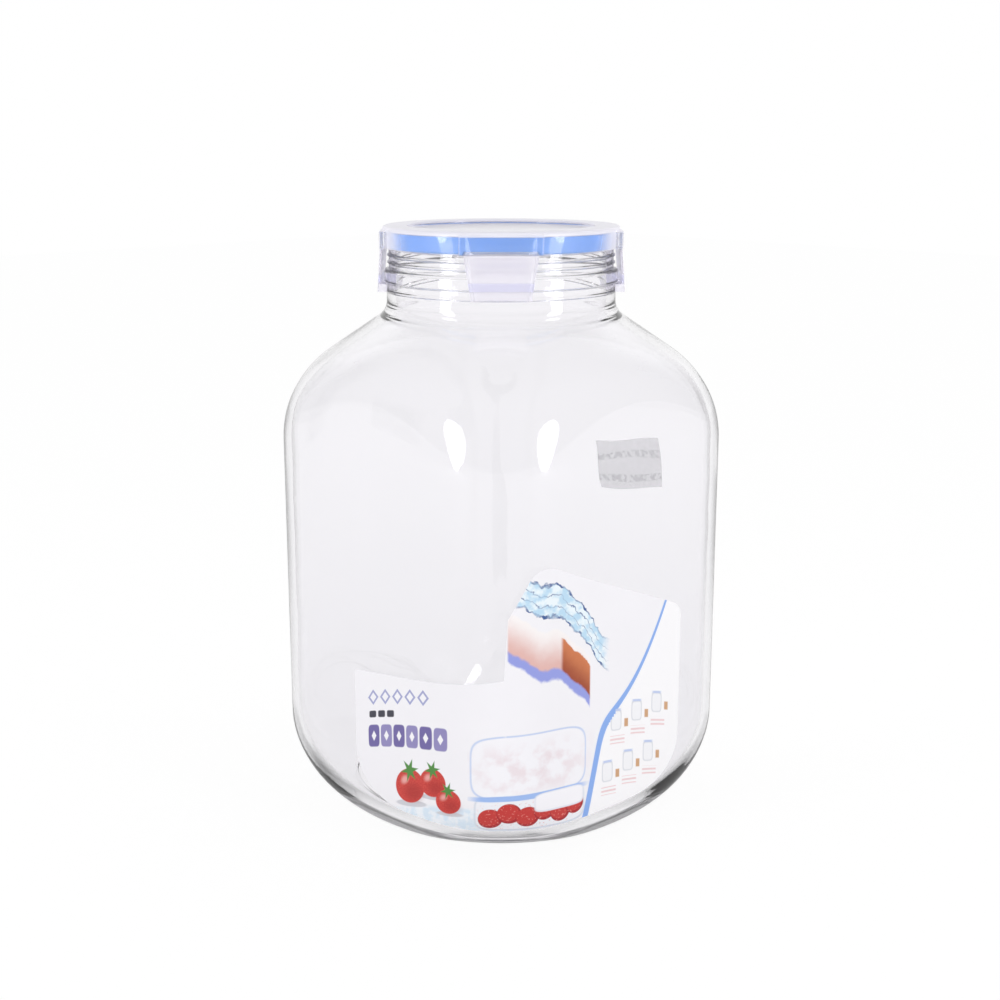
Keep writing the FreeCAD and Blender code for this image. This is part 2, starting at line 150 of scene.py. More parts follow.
class Graph:
    """A node tree that is filled through one method."""

    def __init__(self, tree: bpy.types.NodeTree) -> None:
        """Empty the tree and keep it.

        Args:
            tree: The material's or the world's node tree.
        """
        tree.nodes.clear()
        self.tree = tree

    def node(
        self,
        kind: str,
        settings: Mapping[str, object] | None = None,
        inputs: Mapping[Union[str, int], object] | None = None,
        output: Union[str, int] = 0,
    ) -> Signal:
        """Add one node.

        Args:
            kind: The node's type.
            settings: Properties of the node, set before its sockets.
            inputs: Socket names or places, with a value or a Signal to link.
            output: Which of its outputs to return.

        Returns:
            The chosen output as a Signal.
        """
        made = self.tree.nodes.new(kind)
        for name, value in (settings or {}).items():
            setattr(made, name, value)
        for name, value in (inputs or {}).items():
            if isinstance(value, Signal):
                self.tree.links.new(value.socket, made.inputs[name])
            else:
                made.inputs[name].default_value = value
        return Signal(self, made.outputs[output] if made.outputs else None)

    def mix(self, factor: Value, first: object, second: object) -> Signal:
        """Blend two colours, from the first at 0 to the second at 1."""
        sides = {0: factor, 6: _rgba(first), 7: _rgba(second)}
        return self.node("ShaderNodeMix", {"data_type": "RGBA"}, sides, output=2)

    def mix_shader(self, factor: Value, first: Signal, second: Signal) -> Signal:
        """Blend two shaders, from the first at 0 to the second at 1."""
        return self.node("ShaderNodeMixShader", inputs={0: factor, 1: first, 2: second})

    def principled(self, settings: Mapping[str, object]) -> Signal:
        """A Principled shader with some of its sockets set."""
        return self.node("ShaderNodeBsdfPrincipled", inputs=settings)

    def on_piece(self) -> Signal:
        """Coordinates on the piece, in metres."""
        return self.node("ShaderNodeTexCoord", output="Object")

    def facing(self) -> Signal:
        """0 where the surface is seen face-on, and 1 where it is seen edge-on."""
        return self.node("ShaderNodeLayerWeight", inputs={"Blend": 0.5}, output="Facing")

    def noise(self, place: Signal, scale: float, detail: float) -> Signal:
        """Cloudy values over a place."""
        return self.node("ShaderNodeTexNoise", inputs={"Vector": place, "Scale": scale, "Detail": detail})

    def part(self, vector: Signal, axis: str) -> Signal:
        """One coordinate of a vector."""
        return self.node("ShaderNodeSeparateXYZ", inputs={"Vector": vector}, output=axis)

    def vector(self, operation: str, *values: object, output: Union[str, int] = 0) -> Signal:
        """Vector maths on the given values."""
        return self.node("ShaderNodeVectorMath", {"operation": operation}, dict(enumerate(values)), output)

    def light_path(self, kind: RayKind) -> Signal:
        """Whether the ray is of one kind."""
        return self.node("ShaderNodeLightPath", output=kind.value)

    def finish(self, shader: Signal, kind: str = "ShaderNodeOutputMaterial") -> None:
        """Send a shader to the output of the material or the world."""
        self.node(kind, inputs={"Surface": shader})

    def finish_clear(self, shader: Signal, shadow_tint: Colour) -> None:
        """Send a see-through shader to the output, with a faint shadow.

        Args:
            shader: The shader that is seen.
            shadow_tint: What shadow rays are let through with.
        """
        through = self.node("ShaderNodeBsdfTransparent", inputs={"Color": _rgba(shadow_tint)})
        self.finish(self.mix_shader(self.light_path(RayKind.SHADOW), shader, through))


def _rgba(value: object) -> object:
    """A colour with its alpha, or the Signal as it is."""
    return value if isinstance(value, Signal) else (*value, 1.0)


def new_material(name: str) -> tuple[bpy.types.Material, Graph]:
    """Make an empty node material and the graph that fills it.

    Args:
        name: Name of the material.

    Returns:
        The material and its graph.
    """
    material = bpy.data.materials.new(name)
    material.use_nodes = True
    return material, Graph(material.node_tree)


# ---------------------------------------------------------------- mesh building


def smooth_min(first: np.ndarray, second: np.ndarray, blend: float) -> np.ndarray:
    """The smaller of two values, rounded over where they are within the blend."""
    overlap = np.maximum(blend - np.abs(first - second), 0) / blend
    return np.minimum(first, second) - overlap * overlap * blend / 4


def in_quarter(azimuth: np.ndarray) -> np.ndarray:
    """Angle from the nearest quarter turn."""
    return (azimuth + math.pi / 4) % (math.pi / 2) - math.pi / 4


def around_axis(reach: np.ndarray, azimuth: np.ndarray, up: np.ndarray) -> np.ndarray:
    """Points at a distance and a direction from the axis."""
    return np.stack([reach * np.cos(azimuth), reach * np.sin(azimuth), up], axis=-1)


def rounded(corners: Sequence[tuple[float, float, float]], closed: bool, turn: float = 9.0) -> np.ndarray:
    """Draw an outline whose corners are rounded by arcs.

    Args:
        corners: Across, up and radius of each corner.
        closed: Whether the last corner joins the first.
        turn: Largest angle between neighbouring points of an arc, in degrees.

    Returns:
        The outline's points, one row each.
    """
    count = len(corners)
    points: list[np.ndarray] = []
    for index, (across, up, radius) in enumerate(corners):
        here = np.array([across, up])
        if radius <= 0 or (not closed and index in (0, count - 1)):
            points.append(here)
            continue
        before = np.array(corners[index - 1][:2]) - here
        after = np.array(corners[(index + 1) % count][:2]) - here
        before /= np.linalg.norm(before)
        after /= np.linalg.norm(after)
        half = math.acos(float(np.clip(before @ after, -1, 1))) / 2
        middle = before + after
        centre = here + middle / np.linalg.norm(middle) * radius / math.sin(half)
        first = here + before * radius / math.tan(half) - centre
        last = here + after * radius / math.tan(half) - centre
        swing = math.pi - 2 * half
        side = math.copysign(1, first[0] * last[1] - first[1] * last[0])
        steps = max(2, math.ceil(math.degrees(swing) / turn))
        for step in range(steps + 1):
            angle = side * swing * step / steps
            cosine, sine = math.cos(angle), math.sin(angle)
            turned = np.array([first[0] * cosine - first[1] * sine, first[0] * sine + first[1] * cosine])
            points.append(centre + turned)
    return np.array(points)


def divided(outline: np.ndarray, longest: float) -> np.ndarray:
    """Split an open outline's runs that are longer than a limit.

    Args:
        outline: Points of the outline.
        longest: Greatest length of a run that stays whole.

    Returns:
        The outline with more points on its long runs.
    """
    points = [outline[0]]
    for start, end in zip(outline[:-1], outline[1:]):
        parts = max(1, math.ceil(float(np.linalg.norm(end - start)) / longest))
        points += [start + (end - start) * part / parts for part in range(1, parts + 1)]
    return np.array(points)


def grid_faces(rows: int, columns: int, wrap_rows: bool, wrap_columns: bool) -> list[tuple[int, ...]]:
    """List the quads of a grid of points.

    Args:
        rows: Number of rows.
        columns: Points in each row.
        wrap_rows: Whether the last row joins the first.
        wrap_columns: Whether each row closes on itself.

    Returns:
        One tuple of four indices for each quad.
    """
    faces = []
    for row in range(rows if wrap_rows else rows - 1):
        above = (row + 1) % rows
        for column in range(columns if wrap_columns else columns - 1):
            beside = (column + 1) % columns
            corners = (row, column), (row, beside), (above, beside), (above, column)
            faces.append(tuple(r * columns + c for r, c in corners))
    return faces


def new_mesh(name: str, points: np.ndarray, faces: Sequence[tuple[int, ...]]) -> bpy.types.Object:
    """Make an object from a mesh's points and faces, and put it in the scene.

    Args:
        name: Name of the object and its mesh.
        points: Corners of the mesh, in millimetres.
        faces: Corner numbers of each face.

    Returns:
        The object.
    """
    mesh = bpy.data.meshes.new(name)
    mesh.from_pydata([tuple(point) for point in (points.reshape(-1, 3) * MM).tolist()], [], list(faces))
    return in_scene(name, mesh)


def in_scene(name: str, data: bpy.types.ID) -> bpy.types.Object:
    """Make an object of a mesh, a lamp or a camera and put it in the scene.

    Args:
        name: Name of the object.
        data: The mesh, lamp or camera.

    Returns:
        The object.
    """
    made = bpy.data.objects.new(name, data)
    bpy.context.scene.collection.objects.link(made)
    return made


def solid_piece(
    name: str, points: np.ndarray, faces: Sequence[tuple[int, ...]], crease: float | None = None
) -> bpy.types.Object:
    """Make a smooth-shaded closed piece with its normals outward.

    Args:
        name: Name of the piece.
        points: Its vertices, in millimetres.
        faces: Vertex indices of each face.
        crease: Angle in degrees above which an edge stays sharp, if any does.

    Returns:
        The new object.
    """
    piece = new_mesh(name, points, faces)
    work = bmesh.new()
    work.from_mesh(piece.data)
    bmesh.ops.remove_doubles(work, verts=work.verts, dist=1e-6)
    bmesh.ops.dissolve_degenerate(work, edges=work.edges, dist=1e-7)
    bmesh.ops.recalc_face_normals(work, faces=work.faces)
    work.to_mesh(piece.data)
    work.free()
    piece.data.polygons.foreach_set("use_smooth", [True] * len(piece.data.polygons))
    if crease is not None:
        piece.data.set_sharp_from_angle(angle=math.radians(crease))
    return piece


def sheet_piece(name: str, points: np.ndarray, sheet: np.ndarray) -> bpy.types.Object:
    """Make an open sheet with its print's coordinates.

    Args:
        name: Name of the piece.
        points: A grid of places, in millimetres.
        sheet: Place of each of them on the print, in millimetres.

    Returns:
        The new object.
    """
    piece = new_mesh(name, points, grid_faces(*points.shape[:2], wrap_rows=False, wrap_columns=False))
    layer = piece.data.uv_layers.new(name="sheet")
    corners = np.zeros(len(piece.data.loops), dtype=np.int32)
    piece.data.loops.foreach_get("vertex_index", corners)
    layer.data.foreach_set("uv", sheet.reshape(-1, 2)[corners].astype(np.float32).ravel())
    return piece


def attach(
    piece: bpy.types.Object,
    body: str,
    nodes: Sequence[str],
    finish: bpy.types.Material | None = None,
) -> None:
    """Dress a piece and give it its body and the nodes it stands for.

    Args:
        piece: The piece.
        body: The body it rides on.
        nodes: CAD nodes that it replaces.
        finish: Its material, unless it is dressed already.
    """
    if finish is not None:
        piece.data.materials.append(finish)
    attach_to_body(piece, body)
    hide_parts(*nodes)
    LOG.info("%s: %d faces on %s", piece.name, len(piece.data.polygons), body)


# ---------------------------------------------------------------- finishes


@dataclass(frozen=True)
class ClearGlass:
    """Soda-lime glass that throws a faint shadow, with painted shade: its colour turns grey and darkly
    streaked where it is seen edge-on.
    """

    tint: Colour = (0.966, 0.960, 0.977)
    low_tint: Colour = (0.928, 0.921, 0.940)
    edge_shade_colour: Colour = (0.50, 0.48, 0.50)
    streak_shade_colour: Colour = (0.20, 0.195, 0.20)
    shadow_tint: Colour = (0.965, 0.965, 0.975)
    refraction: float = 1.5
    cloud_scale: tuple[float, float, float] = (18.0, 18.0, 11.0)
    shade_streak_scale: tuple[float, float, float] = (52.0, 52.0, 14.0)
    tint_rise: Point = (0.04, 0.17)
    heel: Point = (0.03, 0.08)
    neck: Point = (0.185, 0.205)
    shade_streak_foot: Point = (0.07, 0.12)
    shade_streak_end: Point = (0.175, 0.195)

    def material(self) -> bpy.types.Material:
        """Build the glass.

        Returns:
            The glass, with painted shade: faint dark streaks and greyed edges where it is seen edge-on.
        """
        made, graph = new_material("clear_glass")
        where, facing = graph.on_piece(), graph.facing()
        height = graph.part(where, "Z")
        uneven = graph.noise(graph.vector("MULTIPLY", where, self.cloud_scale), 1.0, 3.0)
        walls = (height.ramp(*self.heel) * 0.7 + 0.3) * (1 - height.ramp(*self.neck) * 0.8)
        # Painted shade: the colour greys where the glass is seen edge-on and takes dark streaks there,
        # standing in for the darkness that refraction gives its edges.
        edge = facing.ramp(0.55, 0.95) * (uneven.ramp(0.40, 0.60) * 0.8 + 0.2) * walls
        waves = graph.noise(graph.vector("MULTIPLY", where, self.shade_streak_scale), 1.0, 2.0)
        side = height.ramp(*self.shade_streak_foot) * (1 - height.ramp(*self.shade_streak_end))
        shade_streak = facing.ramp(0.60, 0.86) * waves.ramp(0.43, 0.53) * side
        plain = graph.mix(height.ramp(*self.tint_rise), self.low_tint, self.tint)
        colour = graph.mix(shade_streak, graph.mix(edge, plain, self.edge_shade_colour), self.streak_shade_colour)
        settings = {"Base Color": colour, "Roughness": 0.0, "IOR": self.refraction}
        glass = graph.principled(settings | {"Transmission Weight": 1.0})
        graph.finish_clear(glass, self.shadow_tint)
        return made


@dataclass(frozen=True)
class FrostedPlastic:
    """Clear moulded plastic that turns milky where it is seen edge-on, partly from its frosting and partly as
    a painted reflection of the white room.

    Heights and radii are in millimetres. The lid has a milky rim above a height and a clearer panel within a
    radius, and the flaps have a darker band of painted shade where the collar shows through.
    """

    name: str
    milk_and_reflection: Colour = (0.90, 0.885, 0.96)
    body: Colour = (0.985, 0.985, 0.995)
    shadow_tint: Colour = (0.97, 0.97, 0.98)
    clear_share: float = 0.07
    edge_share: float = 0.85
    edge_start: float = 0.36
    edge_end: float = 0.74
    roughness: float = 0.06
    milk_roughness: float = 0.35
    refraction: float = 1.49
    grain: float = 0.12
    grain_scale: float = 1400.0
    grain_height: float = 0.00003
    milky_above: float = 0.0
    panel_radius: float = 0.0
    panel_share: float = 0.62
    band: Point = (0.0, 0.0)
    band_soft: float = 0.3
    band_share: float = 0.62
    collar_shade_colour: Colour = (0.76, 0.75, 0.93)

    def moulding(self, graph: Graph, where: Signal, share: Signal) -> Signal:
        """Make the rim's rounded edge milkier and the sunk panel clearer.

        Args:
            graph: The material's graph.
            where: Coordinates on the piece.
            share: The milky share so far.

        Returns:
            The milky share of the lid.
        """
        up = graph.part(where, "Z")
        level = graph.vector("MULTIPLY", where, (1.0, 1.0, 0.0))
        reach = graph.vector("LENGTH", level, output="Value")
        high = up.ramp((self.milky_above - 0.4) * MM, (self.milky_above + 0.4) * MM)
        rim = reach.ramp((self.panel_radius + 4.0) * MM, (self.panel_radius + 6.0) * MM)
        panel = 1 - reach.ramp((self.panel_radius - 1.0) * MM, self.panel_radius * MM)
        upper = up.ramp((self.milky_above + 0.9) * MM, (self.milky_above + 1.5) * MM)
        milky = (high * rim).greater(upper) * self.edge_share
        return (share * (1 - panel * (1 - self.panel_share))).greater(milky)

    def material(self) -> bpy.types.Material:
        """Build the plastic.

        Returns:
            The plastic, milky where it is seen edge on, which is partly a painted reflection of the white
            room.
        """
        made, graph = new_material(self.name)
        where = graph.on_piece()
        heights = {"Height": graph.noise(where, self.grain_scale, 3.0)}
        bump = graph.node(
            "ShaderNodeBump", inputs=heights | {"Strength": self.grain, "Distance": self.grain_height}
        )
        # Partly painted reflection: the milky share rises where the plastic is seen edge-on, standing in for
        # the white room reflected there as well as for its frosting.
        share = graph.facing().ramp(self.edge_start, self.edge_end) * self.edge_share + self.clear_share
        if self.panel_radius > 0:
            share = self.moulding(graph, where, share)
        milk_and_reflection: object = _rgba(self.milk_and_reflection)
        # Painted shade: a darker lavender band across the flap where the collar behind it shows through, also
        # made more milky.
        if self.band[1] > 0:
            low, high, soft = (size * MM for size in (*self.band, self.band_soft))
            inside = graph.part(where, "Z").between(low, high, soft)
            milk_and_reflection = graph.mix(inside, self.milk_and_reflection, self.collar_shade_colour)
            share = share.greater(inside * self.band_share)
        both = {"IOR": self.refraction, "Normal": bump}
        clear = {"Base Color": _rgba(self.body), "Roughness": self.roughness, "Transmission Weight": 1.0}
        milky = {"Base Color": milk_and_reflection, "Roughness": self.milk_roughness}
        shader = graph.mix_shader(share, graph.principled(both | clear), graph.principled(both | milky))
        graph.finish_clear(shader, self.shadow_tint)
        return made


@dataclass(frozen=True)
class BlueSilicone:
    """Satin silicone rubber."""

    colour: Colour = (0.105, 0.36, 0.90)
    refraction: float = 1.41

    def material(self) -> bpy.types.Material:
        """Build the silicone.

        Returns:
            The silicone.
        """
        made, graph = new_material("blue_silicone")
        cloud = graph.noise(graph.on_piece(), 90.0, 4.0)
        colour = graph.mix(cloud, tuple(0.86 * channel for channel in self.colour), self.colour)
        settings = {"Base Color": colour, "Roughness": 0.42 + cloud * 0.12, "IOR": self.refraction}
        graph.finish(graph.principled(settings))
        return made


# ---------------------------------------------------------------- glass


@dataclass
class GlassJar:
    """The rounded-square glass body with its round neck, in millimetres."""

    half_flats: float
    height: float
    corner_cut: float = 16.1
    crease_blend: float = 13.0
    wall: float = 3.8
    floor: float = 6.0
    floor_rise: float = 1.2
    heel_radius: float = 36.5
    inner_heel_radius: float = 32.0
    foot_angle: float = math.radians(10.0)
    foot_round: float = 0.8
    wall_top: float = 159.5
    shoulder_radius: float = 46.5
    lean: float = math.radians(56.0)
    base_panel_radius: float = 50.0
    base_panel_depth: float = 1.5
    base_panel_draft: float = 3.0
    neck_radius: float = 48.6
    neck_fillet: float = 8.2
    inner_neck_fillet: float = 6.0
    neck_length: float = 12.0
    ring_rise: float = 0.4
    ring_round: float = 0.3
    collar_ledge: float = 1.0
    collar_height: float = 5.7
    finish_step: float = 1.0
    bead_starts: Point = (2.0, 5.0)
    bead_rise: float = 0.6
    rim_round: float = 1.3
    rim_flat: float = 1.4
    ripple: float = 0.16
    columns: int = 288
    arc_turn: float = 4.0
    longest_run: float = 4.0
    slope_step: float = 0.05
    outside: np.ndarray = field(init=False)

    def __post_init__(self) -> None:
        """Draw the outer profile once, for the mesh and for what lies on the glass."""
        self.outside = self.outer_profile()

    @property
    def corner_reach(self) -> float:
        """Distance from the axis to a body corner."""
        return self.half_flats * math.sqrt(2) - self.corner_cut

    @property
    def neck_root(self) -> float:
        """Height where the shoulder's slope would meet the neck.

        Returns:
            The height, in millimetres.
        """
        end_reach = self.corner_reach - self.shoulder_radius * (1 - math.cos(self.lean))
        end = self.wall_top + self.shoulder_radius * math.sin(self.lean)
        return end + (end_reach - self.neck_radius) / math.tan(self.lean)

    def heel_corners(self, reach: float, heel: float, floor: float) -> list[tuple[float, float, float]]:
        """Corner points of a floor's edge and its heel."""
        run = heel * (1 - math.sin(self.foot_angle))
        return [(reach - run, floor, self.foot_round), (reach, floor + run * math.tan(self.foot_angle), heel)]

    def profile(self, corners: Sequence[tuple[float, float, float]]) -> np.ndarray:
        """An open outline of corner reach and height, with round corners and short runs."""
        return divided(rounded(corners, closed=False, turn=self.arc_turn), self.longest_run)

    def outer_profile(self) -> np.ndarray:
        """Draw the outside.

        Returns:
            Corner reach and height, from the middle of the base up to the rim.
        """
        reach, neck, panel = self.corner_reach, self.neck_radius, self.base_panel_radius
        collar = self.neck_root + self.neck_length
        top, ledge, finish = collar + self.collar_height, neck + self.collar_ledge, neck - self.finish_step
        bend = self.wall_top + self.shoulder_radius * math.tan(self.lean / 2)
        corners = [(0.0, self.base_panel_depth, 0.0)]
        corners += [(panel - self.base_panel_draft, self.base_panel_depth, 1.5), (panel, 0.0, 1.2)]
        corners += self.heel_corners(reach, self.heel_radius, 0.0)
        corners += [(reach, bend, self.shoulder_radius), (neck, self.neck_root, self.neck_fillet)]
        for rise, below in ((0.0, 4.0), (self.ring_rise, 3.6), (self.ring_rise, 3.0), (0.0, 2.6)):
            corners.append((neck + rise, collar - below, self.ring_round))
        corners += [(neck, collar, 0.5), (ledge, collar, 0.7), (ledge, top, 1.3), (finish, top, 0.7)]
        for start in self.bead_starts:
            for rise, above, arc in ((0, 0, 0.25), (1, 0.2, 0.4), (1, 1.0, 0.4), (0, 1.2, 0.25)):
                corners.append((finish + rise * self.bead_rise, top + start + above, arc))
        corners += [(finish, self.height, self.rim_round), (finish - self.rim_flat, self.height, 0.0)]
        return self.profile(corners)

    def inner_profile(self) -> np.ndarray:
        """Draw the inside.

        Returns:
            Corner reach and height, from the rim down to the middle of the floor.
        """
        reach, bore = self.corner_reach - self.wall, self.neck_radius - self.wall
        arc = self.shoulder_radius - self.wall
        bore_root = self.neck_root - self.wall * math.tan(self.lean / 2)
        bend = self.wall_top + arc * math.tan(self.lean / 2)
        corners = [(bore + self.rim_flat, self.height, 0.0), (bore, self.height, self.rim_round)]
        corners += [(bore, bore_root, self.inner_neck_fillet), (reach, bend, arc)]
        corners += reversed(self.heel_corners(reach, self.inner_heel_radius, self.floor))
        corners += [(0.0, self.floor + self.floor_rise, 0.0)]
        return self.profile(corners)

    def radius(self, azimuth: np.ndarray, reach: np.ndarray, inset: float) -> np.ndarray:
        """Distance from the axis at an azimuth: a circle cut by four blended flats."""
        flats = (self.half_flats - inset) / np.cos(in_quarter(azimuth))
        return smooth_min(reach, flats, self.crease_blend)

    def ripples(self, azimuth: np.ndarray, height: np.ndarray) -> np.ndarray:
        """Slow waves of blown glass.

        Args:
            azimuth: Directions from the axis.
            height: Heights of the places.

        Returns:
            Values between -1 and 1.
        """
        waves = np.sin(3 * azimuth + 0.045 * height) * np.sin(0.11 * height + 2 * azimuth + 0.7)
        waves += 0.6 * np.sin(7 * azimuth - 0.083 * height + 1.9) * np.sin(0.19 * height - 0.4)
        return waves / 1.6

    def lathe(self, profile: np.ndarray, inset: float, ripple: float) -> np.ndarray:
        """Turn a profile round the axis under the section law.

        Args:
            profile: Corner reach and height of each row.
            inset: Distance of its flats inside the outer ones.
            ripple: Height of the waves in its surface.

        Returns:
            The points, one row for each point of the profile.
        """
        azimuth = np.linspace(0, 2 * math.pi, self.columns, endpoint=False)[None, :]
        reach, height = profile[:, :1], profile[:, 1:]
        around = self.radius(azimuth, reach, inset)
        calm = np.clip(reach / 40 - 0.3, 0, 1) * np.clip((self.neck_root - height) / 25, 0, 1)
        around = around + ripple * calm * self.ripples(azimuth, height)
        return around_axis(around, azimuth, np.broadcast_to(height, around.shape))

    def place(self, azimuth: np.ndarray, height: np.ndarray) -> np.ndarray:
        """Points on the outside of the glass."""
        reach = np.interp(height, self.outside[:, 1], self.outside[:, 0])
        return around_axis(self.radius(azimuth, reach, 0.0), azimuth, height)

    def surface(self, azimuth: np.ndarray, height: np.ndarray, lift: float) -> np.ndarray:
        """Place points a little off the glass.

        Args:
            azimuth: Directions from the axis.
            height: Heights of the points.
            lift: Distance from the glass, square to it.

        Returns:
            The points.
        """
        step, turn = self.slope_step, self.slope_step / 100
        across = self.place(azimuth + turn, height) - self.place(azimuth - turn, height)
        along = self.place(azimuth, height + step) - self.place(azimuth, height - step)
        normal = np.cross(across, along)
        normal /= np.linalg.norm(normal, axis=-1, keepdims=True)
        return self.place(azimuth, height) + lift * normal

    def build(self) -> None:
        """Make the jar and dress it."""
        outside = self.lathe(self.outside, 0.0, 0.0)
        inside = self.lathe(self.inner_profile(), self.wall, self.ripple)
        points = np.concatenate([outside, inside])
        faces = grid_faces(len(points), self.columns, wrap_rows=False, wrap_columns=True)
        piece = solid_piece("jar_glass", points, faces)
        attach(piece, "jar", ["glass_jar", "glass_neck"], ClearGlass().material())


# ---------------------------------------------------------------- lid


@dataclass
class Lid:
    """The round lid with its hinge pads, and the blue seal that it holds, in millimetres."""

    bottom: float
    top: float
    rim: float
    bore: float
    finish: float
    plug_clearance: float = 0.6
    plug_wall: float = 1.8
    plug_depth: float = 3.6
    seat_gap: float = 0.05
    gasket_lip: float = 1.4
    lip_clearance: float = 0.3
    lip_setback: float = 0.3
    lid_wall: float = 1.2
    top_wall: float = 1.0
    edge_round: float = 1.5
    recess_margin: float = 10.5
    recess_depth: float = 1.6
    panel_thickness: float = 1.6
    pad_half: float = 16.7
    pad_rise: float = 0.15
    hinge_lift: float = 0.9
    corner_depth: float = 2.1
    column_turn: float = 0.9
    fine_turn: float = 0.12
    crease: float = 50.0

    @property
    def seal_outer(self) -> float:
        """Outer radius of the seal."""
        return self.finish + self.gasket_lip

    @property
    def plug_radius(self) -> float:
        """Outer radius of the plug that enters the mouth."""
        return self.bore - self.plug_clearance

    @property
    def radius(self) -> float:
        """Outer radius of the round rim."""
        return self.seal_outer + self.seat_gap + self.lid_wall

    @property
    def recess(self) -> float:
        """Radius of the sunk panel."""
        return self.radius - self.recess_margin

    @property
    def pad_plane(self) -> float:
        """Distance of the flat hinge pads from the axis."""
        return self.radius + self.pad_rise

    @property
    def pad_turn(self) -> float:
        """Angle from the middle of a pad to its end."""
        return math.atan2(self.pad_half, self.pad_plane)

    def azimuths(self) -> np.ndarray:
        """Directions of the mesh's columns, closer together at the ends of the pads.

        Returns:
            The directions, in radians.
        """
        turn = math.degrees(self.pad_turn)
        fine = np.arange(-1.2, 2.4, self.fine_turn)
        quarter = np.concatenate([np.arange(-45, 45, self.column_turn), turn + fine, -turn - fine])
        quarter = np.unique(np.round(quarter[quarter < 44.6], 3))
        return np.concatenate([np.radians(quarter + corner.value) for corner in Corner])

    def pad_radius(self, azimuth: np.ndarray) -> np.ndarray:
        """Find the outer radius of the rim's wall, with the four flat pads standing out of it.

        Args:
            azimuth: Directions from the axis.

        Returns:
            The radius in each direction.
        """
        from_pad = np.abs(in_quarter(azimuth - FRONT))
        flat = self.pad_plane / np.cos(from_pad)
        side = self.pad_half / np.maximum(np.sin(from_pad), 0.05)
        pad = smooth_min(flat, side, 0.8)
        return -smooth_min(-pad, np.full_like(pad, -self.radius), 0.5)

    def shell_rows(self, azimuth: np.ndarray) -> list[tuple[np.ndarray, float]]:
        """Draw the shell, from under the panel round to its top.

        Args:
            azimuth: Directions of the columns.

        Returns:
            Radius round the lid, and height, of each row.
        """
        channel_top, channel = self.top - self.top_wall, self.seal_outer + self.seat_gap
        plug, plug_inner = self.plug_radius, self.plug_radius - self.plug_wall
        plug_bottom = self.rim - self.plug_depth
        panel_top = self.top - self.recess_depth
        panel_bottom = panel_top - self.panel_thickness
        ledge = self.top - self.edge_round
        under = [(0.0, panel_bottom, 0.0), (plug_inner, panel_bottom, 0.6), (plug_inner, plug_bottom, 0.5)]
        under += [(plug, plug_bottom, 0.8), (plug, channel_top, 0.3), (channel, channel_top, 0.5)]
        under += [(channel, self.bottom, 0.3), (self.radius - 0.5, self.bottom, 0.0)]
        flat = np.ones_like(azimuth)
        rows = [(flat * reach, up) for reach, up in rounded(under, closed=False)]
        wall = self.pad_radius(azimuth)
        chamfer = ((0.35, 0.0), (0.1, 0.1), (0.0, 0.35))
        rows += [(wall - inset, self.bottom + up) for inset, up in chamfer]
        rows += [(np.maximum(wall - inset, self.radius), ledge - down) for inset, down in reversed(chamfer)]
        over = [(self.radius, ledge, 0.0), (self.radius, self.top, self.edge_round)]
        over += [(self.recess, self.top, 0.45), (self.recess, panel_top, 0.4), (0.0, panel_top, 0.0)]
        rows += [(flat * reach, up) for reach, up in divided(rounded(over, closed=False), 3.0)]
        return rows

    def seal_rows(self, azimuth: np.ndarray) -> list[tuple[np.ndarray, np.ndarray]]:
        """Draw the seal, lifted behind the pads where the hinges are.

        Args:
            azimuth: Directions of the columns.

        Returns:
            Radius round the seal, and height, of each row.
        """
        inner, outer = self.plug_radius + self.seat_gap, self.seal_outer
        lip, low = self.finish + self.lip_clearance, self.bottom + self.lip_setback
        top, seat = self.top - self.corner_depth, self.rim + self.seat_gap
        section = [(inner, seat, 0.4), (lip, seat, 0.3), (lip, low, 0.5), (outer, low, 0.5)]
        section += [(outer, top, 0.6), (inner, top, 0.6)]
        lifted = np.clip((self.pad_turn - np.abs(in_quarter(azimuth - FRONT))) / 0.012, 0, 1)
        rows = []
        for reach, up in rounded(section, closed=True):
            share = np.clip((seat - up) / (seat - low), 0, 1)
            rows.append((np.full_like(azimuth, reach), up + lifted * share * self.hinge_lift))
        return rows

    def turned(self, name: str, rows: Sequence[tuple[np.ndarray, object]], closed: bool) -> bpy.types.Object:
        """Make a piece from rows of radii and heights.

        Args:
            name: Name of the piece.
            rows: Radius round the axis, and height, of each row.
            closed: Whether the last row joins the first.

        Returns:
            The piece.
        """
        azimuth = self.azimuths()
        points = [around_axis(reach, azimuth, np.broadcast_to(up, azimuth.shape)) for reach, up in rows]
        faces = grid_faces(len(points), len(azimuth), wrap_rows=closed, wrap_columns=True)
        return solid_piece(name, np.concatenate(points), faces, self.crease)

    def build(self) -> None:
        """Make the lid and its seal and dress them."""
        azimuth = self.azimuths()
        seal = self.turned("seal_ring", self.seal_rows(azimuth), closed=True)
        attach(seal, "jar", ["gasket"], BlueSilicone().material())
        shell = self.turned("lid_shell", self.shell_rows(azimuth), closed=False)
        seal_top = self.top - self.corner_depth
        plastic = FrostedPlastic("lid_plastic", milky_above=seal_top, panel_radius=self.recess)
        attach(shell, "jar", ["lid"], plastic.material())


